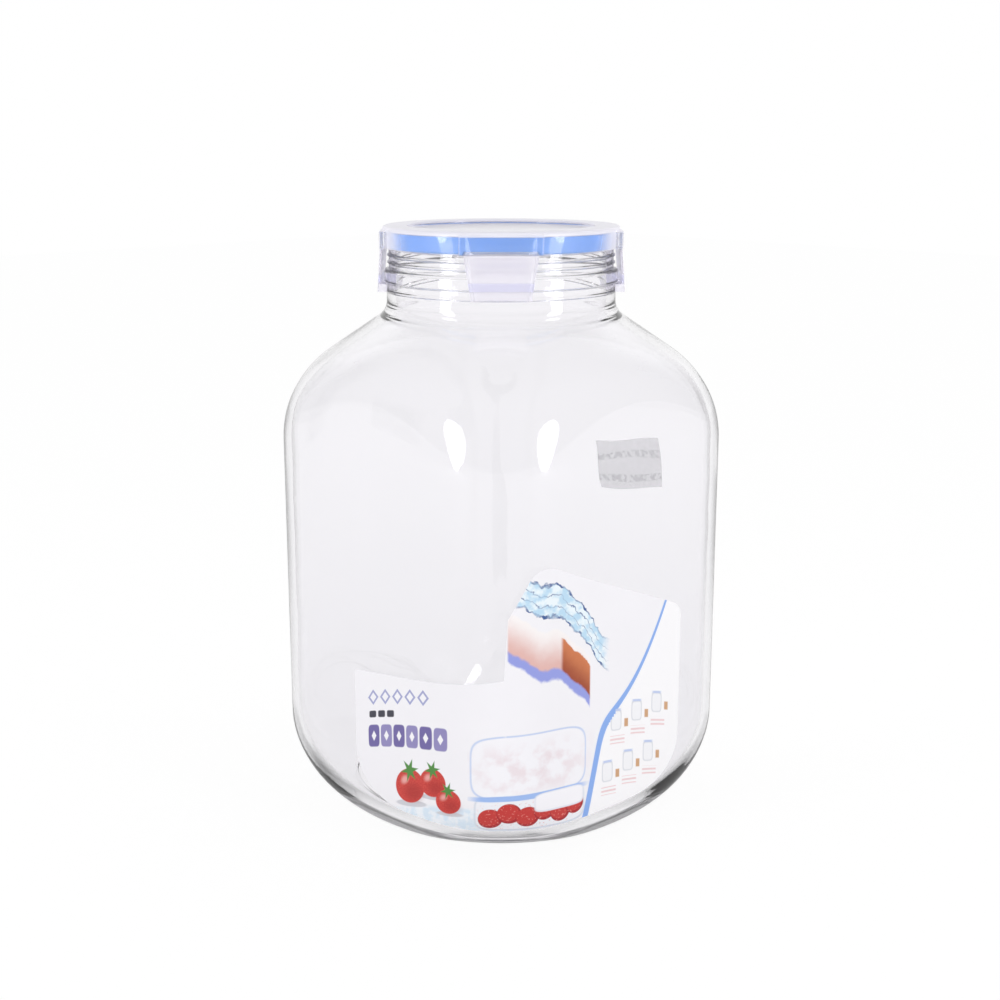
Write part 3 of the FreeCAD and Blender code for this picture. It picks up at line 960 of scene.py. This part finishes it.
@dataclass
class LockingFlap:
    """One flap: a flared plate with two side ribs and a hook behind its foot, in millimetres."""

    corner: Corner
    lid: Lid
    hinge_gap: float = 0.3
    half_top: float = 15.0
    half_foot: float = 12.0
    thickness: float = 1.05
    rib_width: float = 1.5
    rib_height: float = 0.4
    setback: float = 0.1
    flare: float = 1.3
    foot: float = 223.49
    hook_top: float = 226.69
    hook_rows: Point = (224.5, 225.5)
    hook_inner: float = 49.1
    edge: float = 0.3
    edge_start: float = 0.08
    crease: float = 40.0

    def heights(self) -> np.ndarray:
        """Heights of the mesh's rows, from the foot to the hinge.

        Returns:
            The heights, in millimetres.
        """
        top = self.lid.bottom - self.hinge_gap
        foot = [self.foot, self.foot + self.edge_start, self.foot + self.edge, *self.hook_rows]
        hook = [self.hook_top - 0.35, self.hook_top - 0.1, self.hook_top, self.hook_top + 0.02]
        plate = np.linspace(self.hook_top + 0.6, top - 1.0, 14)
        return np.array([*foot, *hook, *plate, top - self.edge, top - self.edge_start, top])

    def fractions(self) -> np.ndarray:
        """Places across the flap, from the middle, as shares of its half width.

        Returns:
            The places, from -1 to 1.
        """
        half = self.half_top
        rib = (half - self.rib_width) / half
        inner = list(np.linspace(0, rib - 0.06, 12)) + [rib - 0.03, rib - 0.01, rib + 0.01, rib + 0.03]
        right = np.array(inner + [1 - self.edge / half, 1 - self.edge_start / half, 1.0])
        return np.concatenate([-right[:0:-1], right])

    def sheets(self) -> np.ndarray:
        """Draw the outer and the inner side of the flap.

        Returns:
            Two grids of distance out from the axis, place across and height.
        """
        heights = self.heights()
        top = heights[-1]
        share = ((top - heights) / (top - self.foot))[:, None]
        half = self.half_top + (self.half_foot - self.half_top) * share
        across = half * self.fractions()[None, :]
        height = np.broadcast_to(heights[:, None], across.shape)
        front = self.lid.pad_plane - self.setback + (self.flare + self.setback) * share
        from_side = half - np.abs(across)
        from_end = np.minimum(height - self.foot, top - height)
        from_edge = np.clip(np.minimum(from_side, from_end), 0, self.edge) / self.edge
        ease = self.edge * (1 - np.sqrt(np.clip(1 - (1 - from_edge) ** 2, 0, 1)))
        dished = self.rib_height * np.clip((from_side - self.rib_width) / 0.3 + 0.5, 0, 1)
        hooked = np.sqrt(np.maximum(self.hook_inner**2 - across**2, 0))
        plate = front - self.thickness
        blend = np.clip((self.hook_top - height) / 0.01, 0, 1)
        inner = plate + (np.minimum(hooked, plate) - plate) * blend + ease
        outer = front - ease - dished
        return np.stack([np.stack([reach, across, height], axis=-1) for reach in (outer, inner)])

    def build(self, finish: bpy.types.Material) -> None:
        """Make the flap and dress it.

        Args:
            finish: The plastic that the four flaps share.
        """
        cosine, sine = math.cos(self.corner.azimuth), math.sin(self.corner.azimuth)
        sheets = self.sheets() @ np.array([[cosine, sine, 0.0], [-sine, cosine, 0.0], [0.0, 0.0, 1.0]])
        _, rows, columns, _ = sheets.shape
        faces = grid_faces(rows, columns, wrap_rows=False, wrap_columns=False)
        offset = rows * columns
        faces += [tuple(offset + corner for corner in reversed(face)) for face in faces]
        border = list(range(columns))
        border += [row * columns + columns - 1 for row in range(1, rows)]
        border += [(rows - 1) * columns + column for column in range(columns - 2, -1, -1)]
        border += [row * columns for row in range(rows - 2, 0, -1)]
        for start, end in zip(border, border[1:] + border[:1]):
            faces.append((end, start, offset + start, offset + end))
        piece = solid_piece("locking_" + self.corner.node, sheets, faces, self.crease)
        attach(piece, self.corner.node, [self.corner.node], finish)


# ---------------------------------------------------------------- print


class Shape(Enum):
    """Outlines that the print is made of, each reaching 1 at its edge."""

    DISC = "disc"
    BOX = "box"
    DIAMOND = "diamond"
    PILLOW = "pillow"


class Printing:
    """Layers of flat ink laid over one another on a sheet measured in millimetres."""

    def __init__(self, graph: Graph, ground: Colour) -> None:
        """Start with an unprinted sheet.

        Args:
            graph: The material's graph.
            ground: Colour of the sheet.
        """
        self.graph = graph
        self.place = graph.node("ShaderNodeUVMap", {"uv_map": "sheet"})
        self.across = graph.part(self.place, "X")
        self.up = graph.part(self.place, "Y")
        self.ink = graph.mix(self.noise(0.05), ground, tuple(0.97 * channel for channel in ground))

    def noise(self, scale: float, detail: float = 2.0) -> Signal:
        """Cloudy values over the sheet."""
        return self.graph.noise(self.place, scale, detail)

    def local(self, middle: Point, half: Point, turn: float = 0.0) -> Signal:
        """Measure the sheet about a place.

        Args:
            middle: The place, across and up.
            half: Half widths, which come out as 1.
            turn: Angle of the shape, in degrees.

        Returns:
            The coordinates about that place.
        """
        inputs = {"Vector": self.place, "Location": (*middle, 0.0), "Scale": (*half, 1.0)}
        inputs["Rotation"] = (0.0, 0.0, math.radians(turn))
        return self.graph.node("ShaderNodeMapping", {"vector_type": "TEXTURE"}, inputs)

    def mask(self, shape: Shape, middle: Point, half: Point, turn: float = 0.0, soft: float = 0.2) -> Signal:
        """Coverage of one shape.

        Args:
            shape: Its outline.
            middle: Its middle, in millimetres.
            half: Half its width and height.
            turn: Its angle in degrees.
            soft: Width of its soft edge.

        Returns:
            1 inside and 0 outside.
        """
        here = self.local(middle, half, turn)
        if shape is Shape.DISC:
            size = self.graph.vector("LENGTH", here, output="Value")
        else:
            folded = self.graph.vector("ABSOLUTE", here)
            wide, tall = self.graph.part(folded, "X"), self.graph.part(folded, "Y")
            if shape is Shape.BOX:
                size = wide.greater(tall)
            elif shape is Shape.DIAMOND:
                size = wide + tall
            else:
                size = (wide**5 + tall**5) ** 0.2
        edge = soft / min(half)
        return 1 - size.ramp(1 - edge, 1 + edge)

    def paint(self, mask: Signal, colour: object) -> None:
        """Lay a colour where the mask is 1."""
        self.ink = self.graph.mix(mask, self.ink, colour)

    def stamp(self, shape: Shape, middle: Point, half: Point, colour: Colour, turn: float = 0.0) -> None:
        """Paint one flat shape."""
        self.paint(self.mask(shape, middle, half, turn), colour)

    def pillow(self, middle: Point, half: Point, colour: Colour) -> None:
        """Paint a box with round corners."""
        self.stamp(Shape.PILLOW, middle, half, colour)


class Zone(Enum):
    """Parts of the label, each printed by a shader of its own."""

    TILES = "tiles"
    FRUIT = "fruit"
    DISH = "dish"
    WATER = "water"
    PANEL = "panel"


@dataclass(frozen=True)
class FruitPrint:
    """A pale sheet printed with tiles, tomatoes, a dish, a wave and a bordered panel."""

    sheet: Printing
    ground: Colour = (0.905, 0.892, 0.93)
    back: Colour = (0.93, 0.92, 0.95)
    violets: tuple[Colour, Colour] = ((0.16, 0.13, 0.36), (0.28, 0.25, 0.50))
    blue: Colour = (0.25, 0.42, 0.84)
    red: Colour = (0.56, 0.035, 0.03)
    green: Colour = (0.08, 0.26, 0.05)
    navy: Colour = (0.04, 0.10, 0.30)
    grey: Colour = (0.62, 0.62, 0.67)
    border_blend: float = 16.0
    tiles_foot: float = 50.2
    fruit_end: float = -14.0
    dish_top: float = 60.0

    @classmethod
    def zone(cls, across: float, up: float) -> Zone:
        """Find the part of the label that a place belongs to.

        Args:
            across: Length round the glass from the corner.
            up: Height on the print.

        Returns:
            The part.
        """
        side, over = cls.border_sides(across, up)
        if smooth_min(np.array(side), np.array(over), cls.border_blend) > 0:
            return Zone.PANEL
        if across < cls.fruit_end:
            return Zone.TILES if up > cls.tiles_foot else Zone.FRUIT
        return Zone.WATER if up > cls.dish_top else Zone.DISH

    @staticmethod
    def border_sides(across: Value, up: Value) -> tuple[Value, Value]:
        """Measure how far a place is inside the panel.

        Args:
            across: The place, across the label.
            up: The place, up the label.

        Returns:
            Its distances from the border's rising and running parts.
        """
        beyond = across - 56.0
        rise = beyond * 0.6 + beyond * beyond * 0.026
        return (across - 40.0) * 0.96 - (up - 17.0) * 0.24, 62.0 - up + rise

    def border(self) -> Signal:
        """Lay the panel's blue border.

        Returns:
            The distance inside the border.
        """
        sheet = self.sheet
        side, over = self.border_sides(sheet.across, sheet.up)
        sides = {0: side, 1: over, 2: self.border_blend}
        inside = sheet.graph.node("ShaderNodeMath", {"operation": "SMOOTH_MIN"}, sides)
        sheet.paint(inside.ramp(-2.0, -1.5), self.blue)
        return inside

    def paint_tiles(self) -> None:
        """Two rows of tiles and a short row of bars."""
        sheet = self.sheet
        for index in range(5):
            middle = (-66.0 + 7.6 * index, 73.0)
            sheet.stamp(Shape.DIAMOND, middle, (3.3, 3.4), (0.36, 0.38, 0.62))
            sheet.stamp(Shape.DIAMOND, middle, (2.0, 2.1), self.ground)
        for index in range(3):
            sheet.pillow((-66.5 + 5.6 * index, 65.6), (2.2, 1.5), (0.05, 0.05, 0.07))
        for index in range(6):
            middle = (-66.0 + 7.9 * index, 56.0)
            sheet.pillow(middle, (3.5, 4.9), self.violets[index % 2])
            sheet.stamp(Shape.DIAMOND, middle, (1.5, 2.3), self.ground)

    def tomato(self, middle: Point, size: float) -> None:
        """One tomato with its light, its shade and its leaves.

        Args:
            middle: Middle of the tomato.
            size: Its radius.
        """
        sheet = self.sheet

        def at(across: float, up: float) -> Point:
            """A place on the tomato, in radii from its middle."""
            return middle[0] + size * across, middle[1] + size * up

        def disc(place: Point, half: Point, turn: float = 0.0, soft: float = 0.2) -> Signal:
            """Coverage of a disc whose half width and height are in radii."""
            return sheet.mask(Shape.DISC, place, (size * half[0], size * half[1]), turn, soft)

        sheet.paint(disc((middle[0] + 0.6, middle[1] - size * 0.9), (1.05, 0.18)), self.grey)
        speck = sheet.noise(1.6).ramp(0.35, 0.7)
        sheet.paint(disc(middle, (1.0, 0.88)), sheet.graph.mix(speck, self.red, (0.66, 0.07, 0.05)))
        sheet.paint(disc(at(0.25, -0.3), (0.6, 0.45), soft=2.5) * 0.5, (0.32, 0.012, 0.012))
        sheet.paint(disc(at(-0.35, 0.3), (0.26, 0.18), 30.0, 1.0) * 0.8, (0.86, 0.45, 0.42))
        for turn in (12.0, 72.0, 132.0):
            sheet.stamp(Shape.DIAMOND, at(0.0, 0.8), (size * 0.62, size * 0.17), self.green, turn)

    def cloth(self) -> None:
        """A pale blue cloth under the fruit and the dish."""
        sheet = self.sheet
        folds = sheet.noise(0.22, 3.0).ramp(0.4, 0.6)
        colour = sheet.graph.mix(folds, (0.70, 0.81, 0.92), (0.86, 0.90, 0.95))
        sheet.paint(sheet.mask(Shape.DISC, (-6.0, 21.5), (48.0, 6.0), 0.0, 1.2), colour)

    def paint_fruit(self) -> None:
        """Three tomatoes on the cloth."""
        self.cloth()
        for middle, size in (((-31.0, 37.0), 7.0), ((-44.0, 34.5), 8.6), ((-23.0, 29.5), 6.2)):
            self.tomato(middle, size)

    def paint_dish(self) -> None:
        """A deep glass dish of cherries under a pale lid with a clip."""
        sheet = self.sheet
        self.cloth()
        sheet.pillow((14.0, 25.0), (25.0, 9.2), (0.66, 0.71, 0.80))
        sheet.pillow((14.0, 25.2), (24.4, 8.5), (0.87, 0.88, 0.93))
        for index in range(6):
            across, up = -4.5 + 7.6 * index, 22.6 + 2.2 * (index % 2)
            sheet.stamp(Shape.DISC, (across, up), (5.0, 4.9), (0.38, 0.012, 0.018))
            sheet.stamp(Shape.DISC, (across - 0.4, up + 0.5), (4.4, 4.2), self.red)
        seeds = sheet.noise(0.9, 3.0).ramp(0.56, 0.70)
        fruit = sheet.mask(Shape.PILLOW, (14.0, 23.2), (23.0, 6.4), 0.0, 1.5)
        sheet.paint(fruit * seeds * 0.7, (0.80, 0.30, 0.26))
        sheet.pillow((13.5, 45.0), (26.2, 13.6), (0.56, 0.64, 0.86))
        sheet.pillow((13.5, 45.0), (25.5, 12.9), (0.90, 0.89, 0.93))
        cloud = sheet.noise(0.13, 3.0).ramp(0.42, 0.64)
        cover = sheet.mask(Shape.PILLOW, (13.5, 43.5), (23.0, 9.0), 0.0, 5.0)
        sheet.paint(cover * cloud * 0.45, (0.74, 0.56, 0.60))
        sheet.pillow((13.5, 32.0), (25.3, 1.2), (0.34, 0.50, 0.86))
        sheet.pillow((26.0, 28.2), (12.5, 4.4), (0.78, 0.79, 0.86))
        sheet.pillow((26.0, 28.4), (11.9, 3.8), (0.92, 0.91, 0.95))
        self.border()

    def paint_water(self) -> None:
        """Water that pours across the upper right over layers of preserve."""
        sheet = self.sheet
        swell = (sheet.across * 0.16).sine() * 2.2 + (sheet.across * 0.41 + 1.0).sine() * 0.8
        ragged = (sheet.noise(0.3) - 0.5) * 5.0
        beyond = sheet.across - 10.0
        fall = sheet.up + sheet.across * 0.5 + beyond * beyond * 0.005 + swell + ragged
        reach = sheet.across.ramp(5.0, 7.0) * (1 - sheet.across.ramp(47.0, 54.0))
        shade = sheet.noise(0.2, 3.0).ramp(0.40, 0.60)
        water = sheet.graph.mix(shade, (0.50, 0.71, 0.88), (0.84, 0.92, 0.97))
        sheet.paint(fall.between(116.0, 129.0, 0.3) * reach, water)
        for level, thick in ((128.7, 0.5), (124.5, 0.2), (120.0, 0.2), (116.2, 0.6)):
            line = fall.between(level - thick, level + thick, 0.25)
            sheet.paint(line * reach * (0.35 + shade * 0.65), self.navy)
        layer = sheet.up + sheet.across * 0.66 + swell * 1.2 + ragged * 0.5
        last = 1 - sheet.across.ramp(41.0, 42.0)
        wide, end = sheet.across.ramp(2.0, 3.0) * last, sheet.across.ramp(25.0, 27.0) * last
        cream = sheet.graph.mix(layer.ramp(97.0, 113.0), (0.76, 0.46, 0.42), (0.93, 0.89, 0.89))
        sheet.paint(layer.between(96.0, 113.0, 0.8) * wide, cream)
        jam = sheet.graph.mix(layer.ramp(96.0, 110.0), (0.34, 0.06, 0.02), (0.62, 0.19, 0.07))
        sheet.paint(layer.between(96.0, 110.0, 0.4) * end, jam)
        sheet.paint(layer.between(92.5, 97.0, 0.8) * wide, (0.30, 0.34, 0.76))
        self.border()

    def paint_panel(self) -> None:
        """A bordered panel of small jars with lines beneath."""
        sheet = self.sheet
        inside = self.border()
        sheet.paint(inside.ramp(1.2, 1.6), (0.945, 0.935, 0.955))
        for row, column in ((0, 0), (0, 1), (0, 2), (1, 0), (1, 1), (1, 2)):
            across, up = 53.0 + 13.0 * column + 5.0 * row, 35.0 + 22.0 * row + 3.5 * column
            sheet.pillow((across, up), (3.4, 4.6), (0.70, 0.71, 0.76))
            sheet.pillow((across, up - 0.2), (2.8, 3.9), (0.89, 0.89, 0.92))
            sheet.stamp(Shape.BOX, (across, up + 4.4), (2.6, 0.5), (0.52, 0.60, 0.84))
            sheet.stamp(Shape.BOX, (across + 6.4, up - 1.5), (1.2, 1.8), (0.62, 0.36, 0.20))
            lines = (sheet.up * 3.4).sine().between(0.1, 2.0, 0.3) * 0.55
            block = sheet.mask(Shape.BOX, (across + 1.0, up - 8.6), (4.6, 1.8))
            sheet.paint(block * lines, (0.74, 0.36, 0.38))

    @classmethod
    def material(cls, zone: Zone) -> bpy.types.Material:
        """Build the printed paper of one zone.

        Args:
            zone: The part of the label.

        Returns:
            Its material.
        """
        made, graph = new_material("printed_" + zone.value)
        sheet = Printing(graph, cls.ground)
        design = cls(sheet)
        painters = {
            Zone.TILES: design.paint_tiles,
            Zone.FRUIT: design.paint_fruit,
            Zone.DISH: design.paint_dish,
            Zone.WATER: design.paint_water,
            Zone.PANEL: design.paint_panel,
        }
        painters[zone]()
        behind = graph.node("ShaderNodeNewGeometry", output="Backfacing")
        colour = graph.mix(behind, sheet.ink, cls.back)
        settings = {"Base Color": colour, "Roughness": 0.38 + sheet.noise(2.0) * 0.08, "IOR": 1.45}
        graph.finish(graph.principled(settings))
        return made


@dataclass
class CornerLabel:
    """The label wrapped round the front corner, cut along a stepped upper edge."""

    jar: GlassJar
    foot: float
    left: float = 61.0
    left_top: float = 70.5
    right: float = 76.0
    right_top: float = 94.0
    peak: Point = (15.0, 128.0)
    brow: Point = (2.5, 106.0)
    step: Point = (1.0, 81.5)
    corner: float = 8.0
    sharp_corner: float = 1.5
    foot_corner: float = 20.0
    lift: float = 0.22
    columns: int = 240
    rows: int = 90

    def outline(self) -> np.ndarray:
        """Cut edge of the label, across and up.

        Returns:
            Its points, in millimetres.
        """
        corners = [(-self.left, self.left_top, self.sharp_corner), (-self.left, self.foot, self.foot_corner)]
        corners += [(self.right, self.foot, self.foot_corner), (self.right, self.right_top, self.corner)]
        corners += [(*self.peak, self.corner), (*self.brow, 0.0), (*self.step, 0.0)]
        return rounded(corners, closed=True, turn=6.0)

    def limits(self, across: np.ndarray) -> tuple[np.ndarray, np.ndarray]:
        """Find the cut edge at each place across the label.

        Args:
            across: Places across.

        Returns:
            Heights of the lower and of the upper edge.
        """
        edge = self.outline()
        low, high = np.full_like(across, np.inf), np.full_like(across, -np.inf)
        for start, end in zip(edge, np.roll(edge, -1, axis=0)):
            first, last = sorted((start[0], end[0]))
            run = end[0] - start[0]
            if abs(run) < 1e-9:
                continue
            here = (across >= first - 1e-9) & (across <= last + 1e-9)
            up = start[1] + (across - start[0]) / run * (end[1] - start[1])
            low = np.where(here, np.minimum(low, up), low)
            high = np.where(here, np.maximum(high, up), high)
        return low, high

    def azimuth_at(self, across: np.ndarray, height: np.ndarray) -> np.ndarray:
        """Find directions from the axis by halving the range.

        Args:
            across: Places across the label.
            height: Their heights.

        Returns:
            The direction of each place on the glass.
        """
        reach = np.interp(height, self.jar.outside[:, 1], self.jar.outside[:, 0])
        low, high = np.full_like(across, math.radians(-88)), np.full_like(across, math.radians(88))
        for _ in range(40):
            middle = (low + high) / 2
            too_far = self.jar.radius(middle + FRONT, reach, 0.0) * np.sin(middle) > across
            low, high = np.where(too_far, low, middle), np.where(too_far, middle, high)
        return FRONT + (low + high) / 2

    def arc_length(self, across: np.ndarray) -> np.ndarray:
        """Measure round the glass from the corner.

        Args:
            across: Places across the label.

        Returns:
            The length to each of them.
        """
        turns = np.radians(np.linspace(-80, 80, 1601))
        around = self.jar.radius(turns + FRONT, np.full_like(turns, self.jar.corner_reach), 0.0)
        places = np.stack([around * np.sin(turns), around * np.cos(turns)], axis=-1)
        length = np.concatenate([[0.0], np.cumsum(np.linalg.norm(np.diff(places, axis=0), axis=-1))])
        length -= np.interp(0.0, places[:, 0], length)
        return np.interp(across, places[:, 0], length)

    def bow(self, along: np.ndarray) -> np.ndarray:
        """Rise of the print's level lines, which droop towards both ends of the label."""
        return 0.05 * along - 0.002 * along**2

    def build(self) -> None:
        """Make the label and print it."""
        ends = 1 - np.cos(np.linspace(0, math.pi, self.columns))
        across = -self.left + (self.left + self.right) * ends / 2
        across = np.unique([*across, self.step[0], self.step[0] + 0.02, self.brow[0]])
        low, high = self.limits(across)
        height = low + (high - low) * np.linspace(0, 1, self.rows)[:, None]
        wide = np.broadcast_to(across, height.shape)
        points = self.jar.surface(self.azimuth_at(wide, height), height, self.lift)
        along = np.broadcast_to(self.arc_length(across), height.shape)
        sheet = np.stack([along, height - self.bow(along)], axis=-1)
        piece = sheet_piece("front_label_print", points, sheet)
        mesh = piece.data
        mesh.polygons.foreach_set("use_smooth", [True] * len(mesh.polygons))
        zones, places = list(Zone), sheet.reshape(-1, 2)
        for zone in zones:
            mesh.materials.append(FruitPrint.material(zone))
        for face in mesh.polygons:
            face.material_index = zones.index(FruitPrint.zone(*places[list(face.vertices)].mean(axis=0)))
        attach(piece, "jar", ["front_label"])


@dataclass
class PriceSticker:
    """A small half-clear sticker on the back wall."""

    wall: float
    middle: Point = (7.0, 137.0)
    size: Point = (37.0, 22.0)
    lean: float = math.radians(9.0)
    lift: float = 0.25
    columns: int = 13
    rows: int = 9
    film: Colour = (0.62, 0.62, 0.62)
    print_ink: Colour = (0.30, 0.30, 0.31)

    def material(self) -> bpy.types.Material:
        """Build the worn grey film with its two rows of marks.

        Returns:
            The film.
        """
        made, graph = new_material("price_sticker")
        place = graph.node("ShaderNodeUVMap", {"uv_map": "sheet"})
        cloud = graph.noise(place, 0.4, 5.0)
        marks = (graph.part(place, "Y") * 0.62 - 0.9).sine().ramp(0.35, 0.75) * cloud.ramp(0.44, 0.54)
        colour = graph.mix(marks * 0.9, self.film, self.print_ink)
        settings = {"Base Color": colour, "Roughness": 0.5, "Alpha": 0.55 + cloud * 0.25}
        graph.finish(graph.principled(settings))
        return made

    def build(self) -> None:
        """Make the sticker and dress it."""
        half_width, half_height = self.size[0] / 2, self.size[1] / 2
        places = np.linspace(-half_width, half_width, self.columns)
        across, up = np.meshgrid(places, np.linspace(-half_height, half_height, self.rows))
        cosine, sine = math.cos(self.lean), math.sin(self.lean)
        wide = self.middle[0] + across * cosine - up * sine
        tall = self.middle[1] + across * sine + up * cosine
        points = np.stack([wide, np.full_like(wide, self.wall + self.lift), tall], axis=-1)
        piece = sheet_piece("price_sticker_film", points, np.stack([across, up], axis=-1))
        attach(piece, "jar", ["price_sticker"], self.material())


# ---------------------------------------------------------------- studio


@dataclass(frozen=True)
class Studio:
    """A white room: pale floor, even sky, two tall soft boxes and the camera, in metres."""

    distance: float = 0.6582
    height: float = 0.2886
    sideways: float = -0.0005
    pitch: float = math.radians(13.46)
    lens: float = 55.41
    sensor: float = 36.0
    box_azimuth: float = math.radians(54.0)
    box_distance: float = 1.2
    box_height: float = 0.36
    box_drop: float = 0.1
    box_size: Point = (0.30, 0.74)
    box_lean: float = math.radians(14.0)
    box_radiance: float = 5.0
    floor_size: float = 6.0
    floor_grey: Colour = (0.8, 0.8, 0.8)
    floor_glow: float = 1.03
    sky_level: float = 0.82

    def camera(self) -> None:
        """Stand the camera in front of the label's corner."""
        along = Vector((math.cos(FRONT), math.sin(FRONT), 0.0))
        beside = Vector((-math.sin(FRONT), math.cos(FRONT), 0.0))
        data = bpy.data.cameras.new("camera")
        data.lens = self.lens
        data.sensor_width = self.sensor
        camera = in_scene("camera", data)
        camera.location = along * self.distance + beside * self.sideways + Vector((0, 0, self.height))
        aim = -along * math.cos(self.pitch) - Vector((0, 0, math.sin(self.pitch)))
        camera.rotation_euler = aim.to_track_quat("-Z", "Y").to_euler()
        bpy.context.scene.camera = camera

    def sky(self) -> None:
        """Light the room evenly, with a white ground behind the object."""
        world = bpy.data.worlds.new("room")
        world.use_nodes = True
        bpy.context.scene.world = world
        graph = Graph(world.node_tree)
        where = graph.node("ShaderNodeTexCoord", output="Generated")
        front = (math.cos(FRONT), math.sin(FRONT), 0.0)
        behind = 1 - graph.vector("DOT_PRODUCT", where, front, output="Value").ramp(-0.75, -0.35)
        through = behind * 0.35 + 0.65
        camera = graph.light_path(RayKind.CAMERA)
        seen = graph.light_path(RayKind.TRANSMISSION)
        plain = self.sky_level + graph.light_path(RayKind.GLOSSY) * (behind * 0.68 - 0.54)
        level = plain + seen * (through - plain)
        level = level + camera * (1 - level)
        sky = graph.node("ShaderNodeBackground", inputs={"Color": (1, 1, 1, 1), "Strength": level})
        graph.finish(sky, "ShaderNodeOutputWorld")

    def floor(self) -> None:
        """Lay the pale floor."""
        bpy.ops.mesh.primitive_plane_add(size=self.floor_size, location=(0, 0, 0))
        plane = bpy.context.object
        plane.name = "floor"
        made, graph = new_material("pale_floor")
        matt = graph.node("ShaderNodeBsdfDiffuse", inputs={"Color": _rgba(self.floor_grey)})
        white = graph.node("ShaderNodeEmission", inputs={"Strength": self.floor_glow})
        seen = graph.light_path(RayKind.CAMERA).greater(graph.light_path(RayKind.TRANSMISSION))
        graph.finish(graph.mix_shader(seen * 0.9, matt, white))
        plane.data.materials.append(made)

    def soft_boxes(self) -> None:
        """Hang a tall soft box on each side of the camera."""
        for side in (-1, 1):
            turn = FRONT + side * self.box_azimuth
            data = bpy.data.lights.new("soft_box", "AREA")
            data.shape = "ELLIPSE"
            data.size, data.size_y = self.box_size
            data.energy = self.box_radiance * math.pi * self.box_size[0] * self.box_size[1]
            lamp = in_scene("soft_box", data)
            away = Vector((math.cos(turn), math.sin(turn), 0.0)) * self.box_distance
            lamp.location = away + Vector((0, 0, self.box_height))
            aim = (-away - Vector((0, 0, self.box_drop))).to_track_quat("-Z", "Y")
            lamp.rotation_euler = (aim @ Quaternion((0.0, 0.0, 1.0), side * self.box_lean)).to_euler()

    def build(self) -> None:
        """Set up the whole studio."""
        bpy.context.scene.view_settings.view_transform = "Standard"
        self.camera()
        self.sky()
        self.floor()
        self.soft_boxes()


def extent(node: str) -> np.ndarray:
    """Lowest and highest corner of a CAD node at rest, in millimetres."""
    return np.array(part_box(node), dtype=float) / MM


def main() -> None:
    """Build every piece, then the studio."""
    logging.basicConfig(level=logging.INFO, format="%(message)s")
    Studio().build()
    glass, neck, shell = extent("glass_jar"), extent("glass_neck"), extent("lid")
    jar = GlassJar(half_flats=glass[1][0], height=neck[1][2])
    jar.build()
    bore, finish = jar.neck_radius - jar.wall, jar.neck_radius - jar.finish_step
    skirt = extent(Corner.FRONT.node)[1][2] + LockingFlap.hinge_gap
    lid = Lid(bottom=skirt, top=shell[1][2], rim=jar.height, bore=bore, finish=finish)
    lid.build()
    see_through = {"clear_share": 0.42, "edge_share": 0.5, "roughness": 0.04, "band": (227.2, 230.6)}
    plastic = FrostedPlastic("flap_plastic", (0.91, 0.885, 0.965), **see_through).material()
    for corner in Corner:
        LockingFlap(corner, lid).build(plastic)
    CornerLabel(jar, foot=extent("front_label")[0][2]).build()
    PriceSticker(wall=glass[1][1]).build()


if __name__ == "__main__":
    main()
